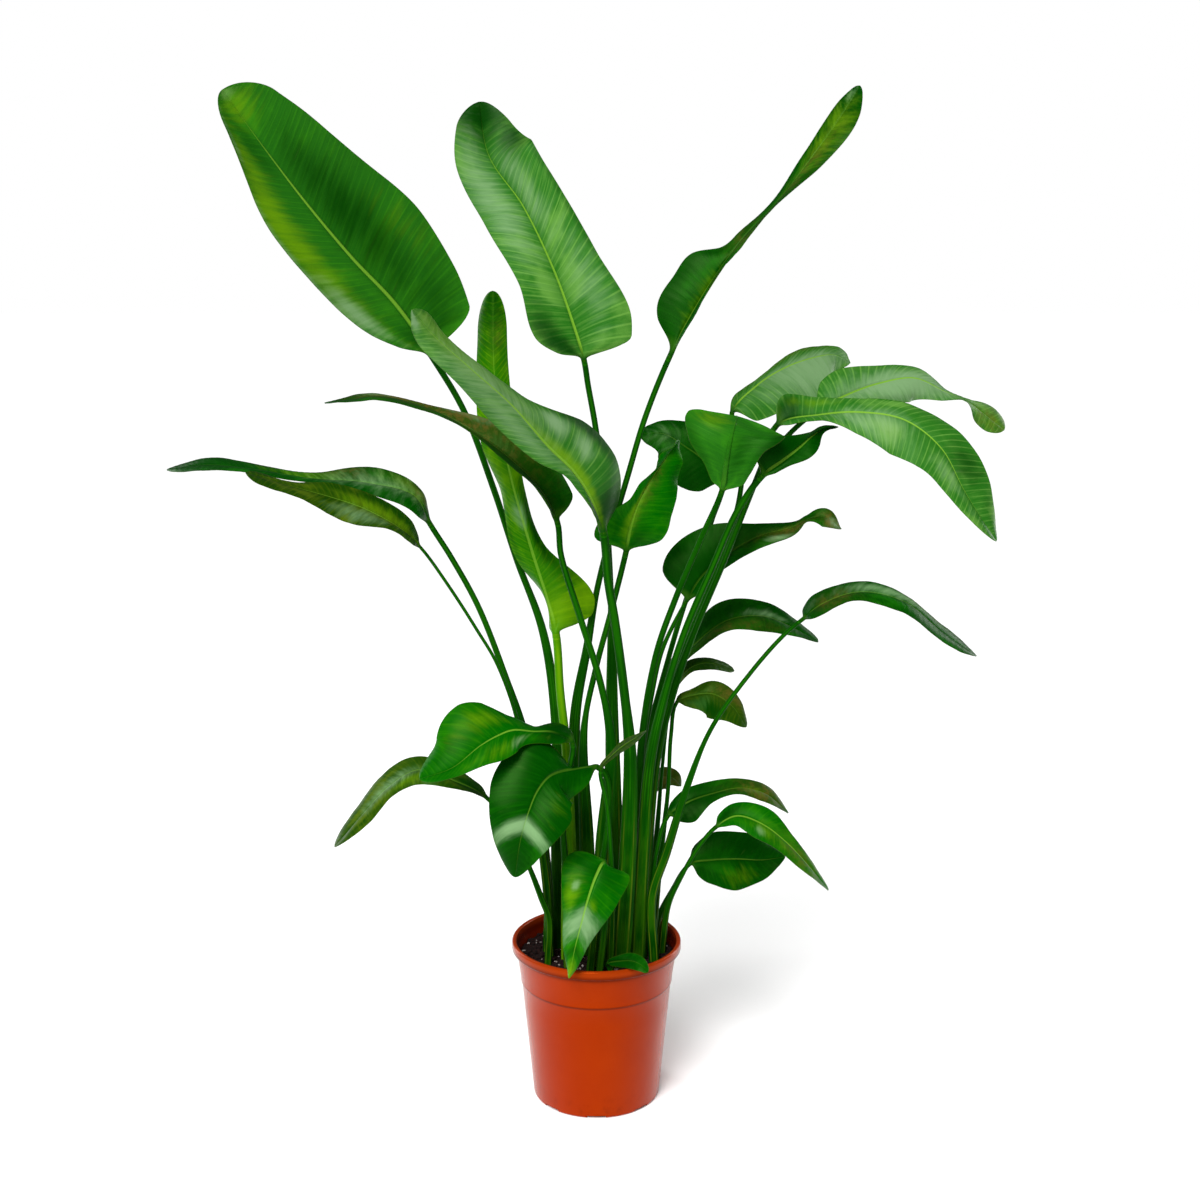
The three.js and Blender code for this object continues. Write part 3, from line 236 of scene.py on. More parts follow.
LEAVES = [
    leaf(
        # This leaf's bright green also stands in for light shining through it from behind.
        "top_left", "bright",
        foot=[-56, 22], sheath=[9, 5], thick=[5.5, 4.2],
        stalk=[
            [557, 850, -22], [556, 721, -36], [543, 632, -55], [517, 560, -70], [494, 490, -80],
            [464, 411, -74],
        ],
        rib=[
            [432, 357, -48], [396, 305, -20], [352, 258, 14], [306, 203, 50], [264, 148, 84],
            [222, 90, 112],
        ],
        left=[8, 39, 46, 45, 29, 15], right=[50, 69, 82, 70, 56, 34],
        lean=[18, 14], cup=-0.05, waves=[3, 2.5, 0.4],
    ),
    leaf(
        "top_centre", "grey",
        foot=[20, 40], sheath=[13, 4.5], thick=[5, 4],
        stalk=[
            [614, 850, -40], [612, 720, -41], [611, 600, -42], [605, 500, -40], [595, 424, -38],
            [588, 385, -37],
        ],
        rib=[
            [584, 360, -36], [572, 320, -40], [553, 268, -50], [523, 206, -66], [489, 156, -86],
            [479, 102, -112],
        ],
        left=[8, 40, 38, 42, 35, 20], right=[44, 58, 46, 41, 44, 18],
        lean=[12, 12], cup=0.07, waves=[3, 2.5, 1.7],
    ),
    leaf(
        "diagonal", "grey",
        foot=[34, -44], sheath=[13, 5], thick=[8, 5.5],
        stalk=[[628, 850, 44], [630, 752, 45], [624, 690, 47], [615, 622, 52], [608, 580, 60]],
        rib=[
            [603, 531, 74], [590, 497, 87], [574, 472, 101], [548, 446, 124], [512, 405, 168],
            [470, 368, 212], [432, 334, 238], [412, 310, 250],
        ],
        left=[5, 5, 9, 20, 26, 21, 16, 8], right=[12, 35, 43, 42, 12, 10, 9, 9],
        lean=[12, -44], cup=0.08, waves=[3, 3, 0.9], lobe=0.1,
    ),
    leaf(
        "young_upright", "young",
        foot=[-38, -22], sheath=[12, 6], thick=[8, 5.5],
        stalk=[[569, 860, 20], [566, 748, 17], [560, 690, 12]],
        rib=[
            [556, 634, 4], [547, 600, -6], [531, 548, -20], [514, 490, -36], [503, 440, -48],
            [494, 370, -60], [493, 291, -66],
        ],
        left=[8, 2, 17, 14, 22, 17, 16], right=[30, 46, 14, 11, 14, 15, 13],
        lean=[-16, -4], cup=0.08, waves=[3, 2.5, 2.2],
    ),
    leaf(
        "dark_left", "deep",
        foot=[8, -42], sheath=[12.5, 5], thick=[6, 4],
        stalk=[[603, 850, 45], [611, 745, 50], [601, 685, 50], [580, 617, 48], [561, 555, 44]],
        rib=[
            [557, 521, 42], [539, 489, 37], [511, 460, 30], [476, 434, 16], [432, 410, -5],
            [380, 397, -30], [350, 400, -43], [325, 403, -54],
        ],
        left=[5, 3, 3, 3, 4, 1.5, 3.5, 1.5], right=[22, 28, 30, 18, 6, 2, 3.5, 1.5],
        lean=[34, -18], cup=0.06, waves=[2.5, 2.5, 0],
    ),
    leaf(
        "far_left_upper", "deep",
        foot=[-70, 5], sheath=[6.5, 4.5], thick=[5, 3.8],
        stalk=[[548, 880, -4], [526, 738, -9], [504, 672, -13], [478, 606, -16], [451, 557, -18]],
        rib=[
            [430, 524, -19], [415, 496, -22], [370, 483, -34], [308, 478, -52], [252, 469, -70],
            [206, 465, -84], [167, 470, -96],
        ],
        left=[5, 13, 11, 5, 3, 7, 2], right=[2, 9, 15, 7, 4, 8, 2],
        lean=[26, -26], cup=0.08, waves=[2.5, 2.5, 1.2],
    ),
    leaf(
        "far_left_lower", "olive",
        foot=[-66, -14], sheath=[6.5, 4], thick=[2.6, 2.2],
        stalk=[[546, 880, 17], [522, 738, 20], [498, 666, 24], [477, 630, 30], [448, 585, 36]],
        rib=[
            [421, 548, 40], [399, 528, 46], [365, 509, 58], [330, 497, 72], [290, 486, 88],
            [246, 473, 104],
        ],
        left=[3, 4, 18, 15, 9, 4], right=[3, 13, 17, 13, 6, 3],
        lean=[24, -14], cup=0.08, waves=[2.5, 2.5, 2.6],
    ),
    leaf(
        "low_left_olive", "olive",
        foot=[-68, -38], sheath=[5, 4], thick=[3.5, 3],
        stalk=[[549, 919, 38], [541, 897, 36], [527, 862, 30], [508, 826, 22]],
        rib=[
            [487, 798, 14], [455, 781, 8], [418, 770, 2], [388, 787, 0], [362, 815, 4],
            [335, 847, 10],
        ],
        left=[3, 8, 14, 11, 10, 3], right=[4, 12, 13, 13, 9, 3],
        lean=[14, -14], cup=0.08, waves=[2, 2, 0.3],
    ),
    leaf(
        "low_left_bright", "bright",
        foot=[-40, -48], sheath=[6, 4.5], thick=[4.5, 4],
        stalk=[[566, 880, 51], [563, 810, 54], [570, 768, 58]],
        rib=[
            [572, 742, 62], [554, 732, 68], [533, 731, 76], [513, 730, 90], [497, 736, 101],
            [480, 746, 113], [452, 768, 132], [420, 779, 148],
        ],
        left=[6, 12, 12, 22, 24, 21, 11, 6], right=[9, 11, 3, 14, 37, 46, 33, 14],
        lean=[10, -22], cup=0.08, waves=[2.5, 2.5, 1.1],
    ),
    leaf(
        "top_right", "deep",
        foot=[-30, 14], sheath=[10, 5], thick=[5, 3.8],
        stalk=[
            [578, 850, -16], [575, 719, -20], [587, 648, -26], [597, 590, -27], [612, 530, -24],
            [628, 475, -18], [645, 418, -14],
        ],
        rib=[
            [670, 356, -10], [690, 318, -16], [706, 291, -23], [719, 271, -30], [731, 254, -36],
            [745, 236, -44], [778, 201, -62], [812, 157, -84], [840, 118, -102], [860, 86, -116],
        ],
        left=[4, 34, 36, 33, 11, 8, 4, 8, 12, 8], right=[1.5, 1.5, 1.5, 1.5, 2, 4, 3, 12, 17, 11],
        lean=[-14, 20], cup=0.05, waves=[2, 3, 0.2],
    ),
    leaf(
        "inner_wavy", "bright",
        foot=[-12, -4], sheath=[12, 5], thick=[4.5, 4],
        stalk=[[587, 850, 3], [584, 730, 4], [596, 668, 5], [611, 612, 6]],
        rib=[
            [626, 552, 6], [631, 527, 2], [640, 500, -8], [655, 474, -22], [668, 455, -36],
            [679, 440, -48],
        ],
        left=[36, 32, 9, 5, 4, 3], right=[10, 33, 36, 27, 16, 5],
        lean=[10, -10], cup=0.06, waves=[4, 3.5, 0.5],
    ),
    leaf(
        "low_centre", "deep",
        foot=[-8, -62], sheath=[6, 4.5], thick=[4.5, 4],
        stalk=[[600, 880, 60], [609, 810, 57], [606, 776, 57]],
        rib=[
            [597, 767, 60], [572, 769, 78], [550, 776, 100], [538, 790, 114], [530, 808, 127],
            [521, 838, 138], [515, 877, 142],
        ],
        left=[8, 24, 34, 38, 43, 32, 10], right=[1, 2, 42, 47, 43, 30, 10],
        lean=[8, -8], cup=0.08, waves=[2.5, 2.5, 0.8],
    ),
    leaf(
        "narrow_young", "olive",
        foot=[20, -60], sheath=[4.5, 4], thick=[3.5, 3],
        stalk=[[612, 880, 67], [607, 805, 74]],
        rib=[[601, 768, 80], [613, 754, 82], [624, 745, 84], [635, 738, 86], [646, 731, 87]],
        left=[2, 3, 4, 3.5, 1], right=[2, 4, 5, 4, 1],
        lean=[8, -8], cup=0.04, waves=[0.6, 1.5, 0],
    ),
    leaf(
        "front_hanging", "bright",
        foot=[4, -78], sheath=[5, 4.5], thick=[4.5, 4],
        stalk=[[604, 930, 79], [607, 892, 82]],
        rib=[
            [604, 862, 90], [596, 876, 106], [588, 899, 120], [582, 921, 128], [575, 948, 134],
            [569, 978, 138],
        ],
        left=[26, 33, 29, 21, 11, 3], right=[18, 35, 28, 20, 12, 3],
        lean=[-6, -6], cup=0.07, waves=[2, 2.5, 0.4], lobe=0.4,
    ),
    leaf(
        "rim_small", "deep",
        foot=[22, -78], sheath=[3.5, 3], thick=[2.5, 2.2],
        stalk=[[608, 966, 80]],
        rib=[[608, 963, 86], [620, 961, 98], [632, 961, 110], [641, 965, 120], [648, 972, 127]],
        left=[3, 6, 8, 7, 3], right=[3, 6, 8, 7, 3],
        lean=[2, 2], cup=0.04, waves=[0.6, 1.5, 0],
    ),
    leaf(
        "bright_cup", "bright",
        foot=[40, -6], sheath=[6.5, 4.5], thick=[5, 4],
        stalk=[[637, 850, 6], [642, 740, 8], [656, 655, 10], [675, 600, 13], [700, 541, 19]],
        rib=[[722, 491, 26], [726, 466, 34], [730, 443, 36], [734, 427, 28], [737, 416, 4]],
        left=[8, 22, 43, 50, 36], right=[16, 26, 36, 51, 50],
        lean=[-10, 8], cup=-0.08, waves=[2.5, 2.5, 0.9],
    ),
    leaf(
        "dark_inner", "deep",
        foot=[58, -30], sheath=[10, 4.5], thick=[5.5, 4.5],
        stalk=[
            [643, 850, 28], [650, 762, 27], [664, 698, 26], [684, 634, 25], [712, 568, 25],
            [737, 512, 25],
        ],
        rib=[
            [762, 476, 24], [782, 461, 18], [800, 447, 7], [811, 437, -2], [822, 430, -12],
            [838, 427, -26],
        ],
        left=[22, 30, 16, 6, 3, 2], right=[6, 7, 15, 13, 4, 2],
        lean=[6, 6], cup=0.05, waves=[2, 2, 0.6],
    ),
    leaf(
        "right_arching", "grey",
        foot=[62, -12], sheath=[10, 4.5], thick=[5, 4],
        stalk=[
            [646, 850, 12], [656, 755, 9], [672, 694, 5], [695, 630, 0], [722, 566, -6],
            [745, 508, -12], [766, 455, -18],
        ],
        rib=[
            [777, 425, -14], [819, 415, 8], [860, 412, 36], [905, 420, 62], [941, 448, 84],
            [965, 492, 98], [996, 541, 108],
        ],
        left=[30, 20, 12, 17, 24, 26, 8], right=[4, 6, 22, 36, 30, 14, 6],
        lean=[-20, 16], cup=0.07, waves=[3, 2.5, 2],
    ),
    leaf(
        "right_curled_tip", "grey",
        foot=[60, 6], sheath=[10, 4.5], thick=[4.5, 3.5],
        stalk=[
            [645, 850, -8], [654, 755, -13], [670, 694, -20], [692, 630, -28], [719, 566, -36],
            [744, 505, -46], [777, 448, -56],
        ],
        rib=[
            [815, 412, -62], [849, 394, -74], [880, 383, -90], [915, 378, -108], [946, 392, -124],
            [967, 401, -133], [984, 414, -141], [1004, 430, -150],
        ],
        left=[14, 27, 19, 9, 2.5, 2.5, 9, 9], right=[8, 12, 20, 24, 9, 2.5, 11, 10],
        lean=[-18, 14], cup=0.07, waves=[2.5, 2.5, 1],
    ),
    leaf(
        "back_grey", "grey",
        foot=[58, 24], sheath=[10, 4.5], thick=[4.5, 3.5],
        stalk=[
            [643, 850, -27], [652, 754, -34], [668, 694, -42], [690, 632, -52], [716, 566, -64],
            [738, 505, -76], [742, 455, -88],
        ],
        rib=[
            [732, 413, -100], [757, 385, -118], [784, 368, -140], [812, 358, -164],
            [834, 355, -186], [850, 363, -202],
        ],
        left=[6, 6, 8, 12, 8, 3], right=[20, 34, 42, 46, 32, 6],
        lean=[-18, 12], cup=0.07, waves=[2.5, 2.5, 0.6],
    ),
    leaf(
        "back_pointing_left", "deep",
        foot=[56, 42], sheath=[8, 4.5], thick=[4.5, 3.5],
        stalk=[
            [641, 850, -46], [646, 752, -58], [660, 690, -68], [676, 632, -80], [697, 566, -92],
            [712, 520, -102],
        ],
        rib=[[722, 484, -108], [706, 462, -112], [686, 447, -118], [664, 434, -126], [640, 434, -134]],
        left=[16, 34, 34, 22, 8], right=[12, 26, 27, 15, 4],
        lean=[6, -10], cup=0.06, waves=[2, 2, 0.2],
    ),
    leaf(
        "mid_right", "deep",
        foot=[36, 16], sheath=[6, 4], thick=[3.5, 3],
        stalk=[[634, 860, -20], [642, 760, -32], [652, 695, -44], [663, 648, -52]],
        rib=[
            [686, 602, -56], [703, 575, -58], [730, 552, -57], [762, 535, -50], [792, 527, -42],
            [808, 519, -38], [825, 517, -33], [841, 529, -28],
        ],
        left=[24, 41, 34, 12, 6, 4, 8, 3], right=[8, 9, 12, 11, 8, 4, 9, 3],
        lean=[-6, 12], cup=0.06, waves=[2.5, 2.5, 1.4],
    ),
    leaf(
        "mid_right_lower", "deep",
        foot=[30, 50], sheath=[6, 4], thick=[3.5, 3],
        stalk=[[628, 860, -56], [638, 775, -74], [652, 715, -88]],
        rib=[
            [668, 672, -100], [695, 644, -114], [726, 621, -124], [762, 616, -132],
            [792, 627, -140], [818, 642, -146],
        ],
        left=[3, 9, 20, 14, 9, 4], right=[6, 6, 11, 15, 9, 3],
        lean=[-10, 14], cup=0.06, waves=[2, 2, 0.5],
    ),
    leaf(
        "far_right_low", "deep",
        foot=[81, -32], sheath=[7, 4.5], thick=[4, 2.8],
        stalk=[
            [652, 897, 34], [667, 851, 38], [686, 790, 42], [711, 729, 52], [752, 671, 64],
            [785, 634, 78],
        ],
        rib=[
            [803, 619, 84], [822, 604, 92], [860, 592, 108], [905, 602, 128], [942, 632, 146],
            [976, 656, 160],
        ],
        left=[1.5, 13, 10, 7, 5, 2], right=[2, 9, 9, 10, 8, 2],
        lean=[-20, 20], cup=0.08, waves=[2, 2.5, 0.7],
    ),
    leaf(
        "small_upper", "olive",
        foot=[66, 60], sheath=[5, 4], thick=[3, 2.5],
        stalk=[[654, 860, -70], [662, 770, -84], [668, 715, -94]],
        rib=[[674, 687, -100], [690, 668, -106], [706, 663, -114], [722, 666, -122], [734, 671, -128]],
        left=[5, 7, 6, 4, 2], right=[4, 4, 7, 5, 2],
        lean=[-10, 10], cup=0.05, waves=[1, 1.5, 0],
    ),
    leaf(
        "brown", "olive",
        foot=[80, 14], sheath=[5, 4], thick=[3.5, 2.8],
        stalk=[[659, 870, -17], [668, 790, -22], [671, 735, -26]],
        rib=[[677, 702, -30], [694, 695, -30], [713, 694, -28], [732, 706, -24], [746, 727, -20]],
        left=[3, 7, 13, 11, 3], right=[4, 14, 24, 20, 5],
        lean=[-8, 8], cup=0.06, waves=[1.5, 2, 0.9],
    ),
    leaf(
        "olive_behind", "olive",
        foot=[30, 74], sheath=[5, 4], thick=[3, 2.5],
        stalk=[[628, 870, -84], [634, 825, -94]],
        rib=[[641, 800, -102], [652, 785, -110], [663, 777, -116], [673, 778, -120], [681, 786, -124]],
        left=[5, 9, 10, 8, 2], right=[5, 8, 13, 10, 2],
        lean=[-6, 6], cup=0.05, waves=[1, 1.5, 0.4],
    ),
    leaf(
        "low_right", "deep",
        foot=[84, -12], sheath=[5, 4], thick=[3.5, 3],
        stalk=[[652, 895, 12], [657, 850, 10]],
        rib=[
            [668, 816, 6], [688, 802, 0], [711, 794, -8], [740, 788, -18], [766, 794, -28],
            [788, 813, -36],
        ],
        left=[3, 12, 13, 9, 8, 2], right=[8, 20, 9, 6, 8, 2],
        lean=[-8, 10], cup=0.06, waves=[1.5, 2, 0.2],
    ),
    leaf(
        "low_right_dark", "deep",
        foot=[86, 32], sheath=[5, 4], thick=[3.5, 3],
        stalk=[[658, 920, -33], [672, 890, -36]],
        rib=[[690, 864, -40], [712, 860, -44], [737, 859, -50], [762, 860, -56], [785, 857, -62]],
        left=[8, 26, 27, 22, 4], right=[8, 24, 31, 20, 4],
        lean=[-6, 6], cup=0.06, waves=[1.5, 2, 1.1],
    ),
    leaf(
        "low_right_bright", "bright",
        foot=[93, 0], sheath=[5, 4], thick=[3.5, 3],
        stalk=[[668, 905, 2], [682, 875, 6], [700, 845, 12]],
        rib=[
            [716, 827, 18], [737, 816, 26], [762, 824, 36], [786, 842, 46], [808, 865, 54],
            [828, 890, 60],
        ],
        left=[4, 13, 17, 9, 6, 2], right=[3, 9, 16, 11, 8, 2],
        lean=[-8, 12], cup=0.07, waves=[1.5, 2, 0.6],
    ),
]


# Patches of another look on a blade: kind, where along it (0 foot, 1 tip) and across it (-1 left margin,
# 1 right one), how long and wide, and how strong. plain patches show no veins and no rib. dark patches
# are painted shade. pale patches are partly the leaves' waxy bloom and partly painted sheen and
# highlights.
TINT_KINDS = ("yellow", "brown", "dark", "pale", "plain")
TINTS = {
    "top_left": [
        ("yellow", 0.5, -0.75, 0.45, 0.35, 0.75), ("yellow", 0.96, 0.0, 0.1, 0.8, 0.6),
        ("yellow", 0.3, 0.75, 0.15, 0.25, 0.25), ("dark", 0.45, 0.35, 0.4, 0.4, 0.75),
        ("dark", 0.1, 0.5, 0.16, 0.6, 0.6), ("pale", 0.2, -0.8, 0.13, 0.2, 0.75),
        ("dark", 0.08, -0.2, 0.1, 0.6, 0.5), ("dark", 0.8, -0.3, 0.14, 0.35, 0.5),
        ("pale", 0.985, 0.0, 0.03, 0.8, 0.45), ("pale", 0.3, -0.97, 0.35, 0.06, 0.5),
        ("pale", 0.82, -0.9, 0.15, 0.08, 0.5),
    ],
    "top_centre": [
        ("pale", 0.62, -0.55, 0.3, 0.5, 0.6), ("pale", 0.62, 0.3, 0.2, 0.35, 0.5),
        ("pale", 0.28, 0.55, 0.2, 0.4, 0.45), ("dark", 1.04, 0.0, 0.2, 2.5, 1.3),
        ("plain", 1.04, 0.0, 0.16, 2.5, 1.0), ("dark", 0.5, 0.97, 0.5, 0.12, 0.5),
        ("dark", 0.1, -0.7, 0.16, 0.4, 0.95), ("dark", 0.8, 0.7, 0.12, 0.5, 0.85),
    ],
    "diagonal": [
        ("dark", 0.0, 0.2, 0.15, 1.6, 1.2), ("plain", 0.02, 0.6, 0.12, 0.8, 0.9),
        ("pale", 0.3, 0.5, 0.05, 0.25, 0.8), ("pale", 0.42, 0.55, 0.05, 0.3, 0.9),
        ("dark", 0.3, 0.95, 0.14, 0.25, 0.95), ("pale", 0.5, -0.5, 0.3, 0.5, 0.55),
        ("yellow", 0.3, 0.05, 0.3, 0.15, 0.9), ("yellow", 0.75, 0.3, 0.25, 0.9, 0.7),
        ("pale", 0.97, -0.7, 0.1, 0.4, 0.9), ("pale", 0.65, 0.0, 0.25, 1.5, 0.55),
    ],
    "young_upright": [
        ("dark", 1.0, 0.0, 0.16, 1.5, 0.75), ("brown", 0.9, 0.3, 0.04, 0.4, 0.25),
        ("dark", 0.33, 0.7, 0.16, 0.45, 0.8), ("pale", 0.42, 0.0, 0.05, 0.5, 0.55),
        ("yellow", 0.08, 0.1, 0.14, 1.2, 0.7), ("dark", 0.3, -0.8, 0.16, 0.2, 0.4),
        ("yellow", 0.68, 0.3, 0.1, 0.6, 0.5),
    ],
    "dark_left": [
        ("brown", 0.55, 0.6, 0.28, 1.0, 0.85), ("pale", 0.48, 0.9, 0.2, 0.35, 0.5),
        ("dark", 0.2, -0.2, 0.3, 0.9, 1.0), ("dark", 0.85, 0.0, 0.3, 1.5, 0.4),
        ("plain", 0.4, 0.0, 0.5, 1.5, 0.8), ("pale", 0.7, 0.6, 0.1, 0.5, 0.5),
    ],
    "far_left_upper": [
        ("pale", 0.3, 0.0, 0.2, 0.9, 0.45), ("yellow", 0.2, 0.4, 0.14, 0.7, 0.5),
        ("brown", 0.14, 0.5, 0.05, 0.5, 0.6), ("yellow", 0.5, 0.3, 0.14, 0.8, 0.45),
        ("brown", 0.38, 0.7, 0.06, 0.5, 0.4), ("pale", 0.12, 0.95, 0.1, 0.15, 0.6),
        ("dark", 0.95, 0.0, 0.2, 1.5, 0.6), ("plain", 0.4, 0.0, 0.5, 1.5, 0.7),
    ],
    "far_left_lower": [
        ("dark", 0.3, 0.7, 0.4, 0.5, 0.7), ("pale", 0.4, -0.5, 0.2, 0.5, 0.5),
        ("yellow", 0.35, 0.2, 0.3, 0.5, 0.5),
    ],
    "low_left_olive": [
        ("pale", 0.6, 0.0, 0.25, 0.5, 0.55), ("yellow", 0.45, -0.5, 0.2, 0.4, 0.5),
        ("dark", 0.1, 0.0, 0.15, 1.5, 0.8), ("plain", 0.5, 0.0, 0.6, 1.5, 0.6),
    ],
    "low_left_bright": [
        ("dark", 0.1, 0.0, 0.16, 1.5, 1.0), ("plain", 0.08, 0.0, 0.16, 1.5, 1.0),
        ("yellow", 0.5, -0.6, 0.3, 0.4, 0.35), ("yellow", 0.55, 0.5, 0.2, 0.3, 0.5),
        ("dark", 0.75, 0.45, 0.18, 0.35, 0.5), ("pale", 0.34, -0.6, 0.08, 0.3, 0.5),
    ],
    "top_right": [
        ("yellow", 0.2, 0.0, 0.16, 0.3, 0.4), ("dark", 0.2, -0.8, 0.25, 0.35, 0.8),
        ("yellow", 0.85, 0.0, 0.15, 1.2, 0.5), ("brown", 0.75, 0.3, 0.12, 0.5, 0.35),
        ("pale", 0.97, -0.4, 0.06, 0.5, 0.4), ("brown", 0.5, 0.0, 0.08, 1.5, 0.3),
        ("plain", 0.55, 0.0, 0.25, 1.5, 0.7),
    ],
    "inner_wavy": [
        ("yellow", 0.35, -0.1, 0.35, 0.25, 0.7), ("dark", 0.1, 0.4, 0.16, 0.5, 0.6),
        ("brown", 0.5, 0.05, 0.25, 0.2, 0.4), ("dark", 0.6, 0.8, 0.3, 0.3, 0.5),
        ("plain", 0.4, 0.0, 0.6, 0.5, 0.6),
    ],
    "low_centre": [
        # The narrow pale band across this blade is a painted highlight.
        ("pale", 0.76, 0.0, 0.045, 1.3, 0.95), ("dark", 0.93, 0.0, 0.1, 1.5, 0.7),
        ("dark", 0.3, 0.9, 0.3, 0.3, 0.7), ("plain", 0.2, 0.0, 0.3, 1.5, 0.6),
        ("yellow", 0.5, -0.6, 0.12, 0.3, 0.3),
    ],
    "front_hanging": [
        ("dark", 0.1, 0.0, 0.2, 1.5, 0.5), ("yellow", 0.34, 0.6, 0.13, 0.35, 0.7),
        # The pale band across the middle of this blade is a painted highlight.
        ("yellow", 0.42, -0.25, 0.07, 0.25, 0.6), ("pale", 0.58, 0.0, 0.13, 1.4, 0.85),
        ("dark", 0.8, 0.0, 0.05, 1.5, 0.6), ("yellow", 0.97, 0.0, 0.1, 1.5, 0.8),
        ("pale", 0.28, 0.5, 0.04, 0.15, 0.7),
    ],
    "rim_small": [("plain", 0.5, 0.0, 1.0, 2.0, 0.8), ("dark", 0.3, 0.0, 0.5, 2.0, 0.7)],
    "bright_cup": [
        ("plain", 0.5, 0.0, 1.0, 2.0, 1.0), ("dark", 0.4, 0.4, 0.4, 0.5, 0.6),
        ("yellow", 0.78, -0.5, 0.2, 0.5, 0.5), ("dark", 0.5, 0.95, 0.4, 0.3, 0.8),
        ("dark", 0.3, -0.9, 0.3, 0.25, 0.5),
    ],
    "dark_inner": [("dark", 0.2, -0.5, 0.3, 0.7, 1.0), ("dark", 0.5, 0.6, 0.3, 0.4, 0.5)],
    "back_pointing_left": [
        ("pale", 0.75, 0.0, 0.25, 1.2, 0.25), ("dark", 0.15, 0.0, 0.25, 1.5, 1.0),
        ("plain", 0.5, 0.0, 0.8, 2.0, 0.7),
    ],
    "right_arching": [
        ("pale", 0.35, 0.3, 0.22, 0.7, 0.6), ("pale", 0.75, 0.4, 0.15, 0.4, 0.4),
        ("dark", 0.74, -0.45, 0.12, 0.6, 0.62), ("yellow", 0.42, 0.4, 0.1, 0.3, 0.7),
        ("dark", 0.05, -0.3, 0.08, 0.8, 0.9), ("yellow", 0.15, -0.6, 0.1, 0.3, 0.5),
    ],
    "right_curled_tip": [
        ("pale", 0.35, 0.2, 0.3, 0.9, 0.95), ("brown", 0.9, 0.0, 0.14, 1.5, 0.45),
        ("yellow", 0.92, 0.0, 0.12, 1.5, 0.4), ("dark", 0.3, 0.8, 0.2, 0.2, 0.6),
    ],
    "back_grey": [("pale", 0.55, 0.3, 0.4, 0.8, 0.9), ("brown", 0.3, -0.9, 0.3, 0.3, 0.3)],
    "mid_right": [
        ("dark", 0.2, -0.2, 0.3, 1.0, 0.8), ("plain", 0.5, 0.0, 1.0, 2.0, 0.75),
        ("brown", 0.55, 0.4, 0.15, 0.6, 0.6), ("pale", 0.42, 0.7, 0.06, 0.3, 0.7),
        ("brown", 0.92, 0.0, 0.12, 1.5, 0.8), ("pale", 0.93, 0.2, 0.08, 0.8, 0.6),
        ("yellow", 0.52, 0.1, 0.12, 0.3, 0.4),
    ],
    "mid_right_lower": [
        ("dark", 0.45, -0.5, 0.3, 0.6, 0.7), ("brown", 0.4, 0.6, 0.25, 0.4, 0.5),
        ("pale", 0.62, -0.2, 0.15, 0.3, 0.55), ("plain", 0.5, 0.0, 1.0, 2.0, 0.5),
    ],
    "far_right_low": [
        ("pale", 0.5, -0.4, 0.25, 0.5, 0.6), ("brown", 0.25, 0.2, 0.1, 0.6, 0.5),
        ("dark", 0.15, 0.0, 0.2, 1.5, 0.8), ("brown", 0.7, -0.8, 0.12, 0.3, 0.4),
        ("plain", 0.5, 0.0, 1.0, 2.0, 0.5),
    ],
    "low_right": [
        ("dark", 0.2, 0.0, 0.3, 1.5, 0.8), ("brown", 0.75, 0.0, 0.2, 1.5, 0.7),
        ("yellow", 0.7, 0.3, 0.15, 0.8, 0.4), ("plain", 0.4, 0.0, 1.0, 2.0, 0.5),
    ],
    "low_right_bright": [
        ("dark", 0.12, -0.4, 0.15, 0.6, 0.8), ("yellow", 0.45, 0.3, 0.2, 0.6, 0.4),
        ("brown", 0.75, 0.0, 0.2, 1.5, 0.45), ("pale", 0.38, 0.5, 0.05, 0.3, 0.5),
    ],
    "low_right_dark": [
        ("dark", 0.5, -0.5, 0.5, 0.5, 0.8), ("yellow", 0.45, 0.6, 0.2, 0.4, 0.35),
        ("plain", 0.3, 0.0, 0.3, 1.0, 0.4),
    ],
    "brown": [
        ("dark", 0.4, 0.6, 0.4, 0.5, 0.9), ("brown", 0.6, -0.5, 0.2, 0.5, 0.6),
        ("plain", 0.5, 0.0, 1.0, 2.0, 0.7),
    ],
    "small_upper": [("dark", 0.4, 0.0, 0.5, 2.0, 0.5), ("plain", 0.5, 0.0, 1.0, 2.0, 0.7)],
    "olive_behind": [("brown", 0.5, 0.0, 0.5, 2.0, 0.6), ("plain", 0.5, 0.0, 1.0, 2.0, 0.8)],
}

# The kinds of leaf: the slot named for each, and how strongly its rib and side veins show.
LEAF_SLOTS = {
    "deep": "leaf_deep_green",
    "bright": "leaf_bright_green",
    "young": "leaf_young_green",
    "grey": "leaf_sheen_green",
    "olive": "leaf_olive_green",
}
RIB_STRENGTHS = {"deep": 0.42, "bright": 0.7, "young": 0.5, "grey": 0.9, "olive": 0.5}
VEIN_STRENGTHS = {"deep": 0.25, "bright": 0.35, "young": 0.4, "grey": 0.75, "olive": 0.4}
UNDERSIDE_VEINS = 0.6
UNDERSIDE_BLEND = 0.1  # how far the undersides lean to their own colour
STREAKS_PER_METRE = 420.0
PATCH_STREAKS_PER_METRE = 120.0
BANDS_PER_METRE = 22.0

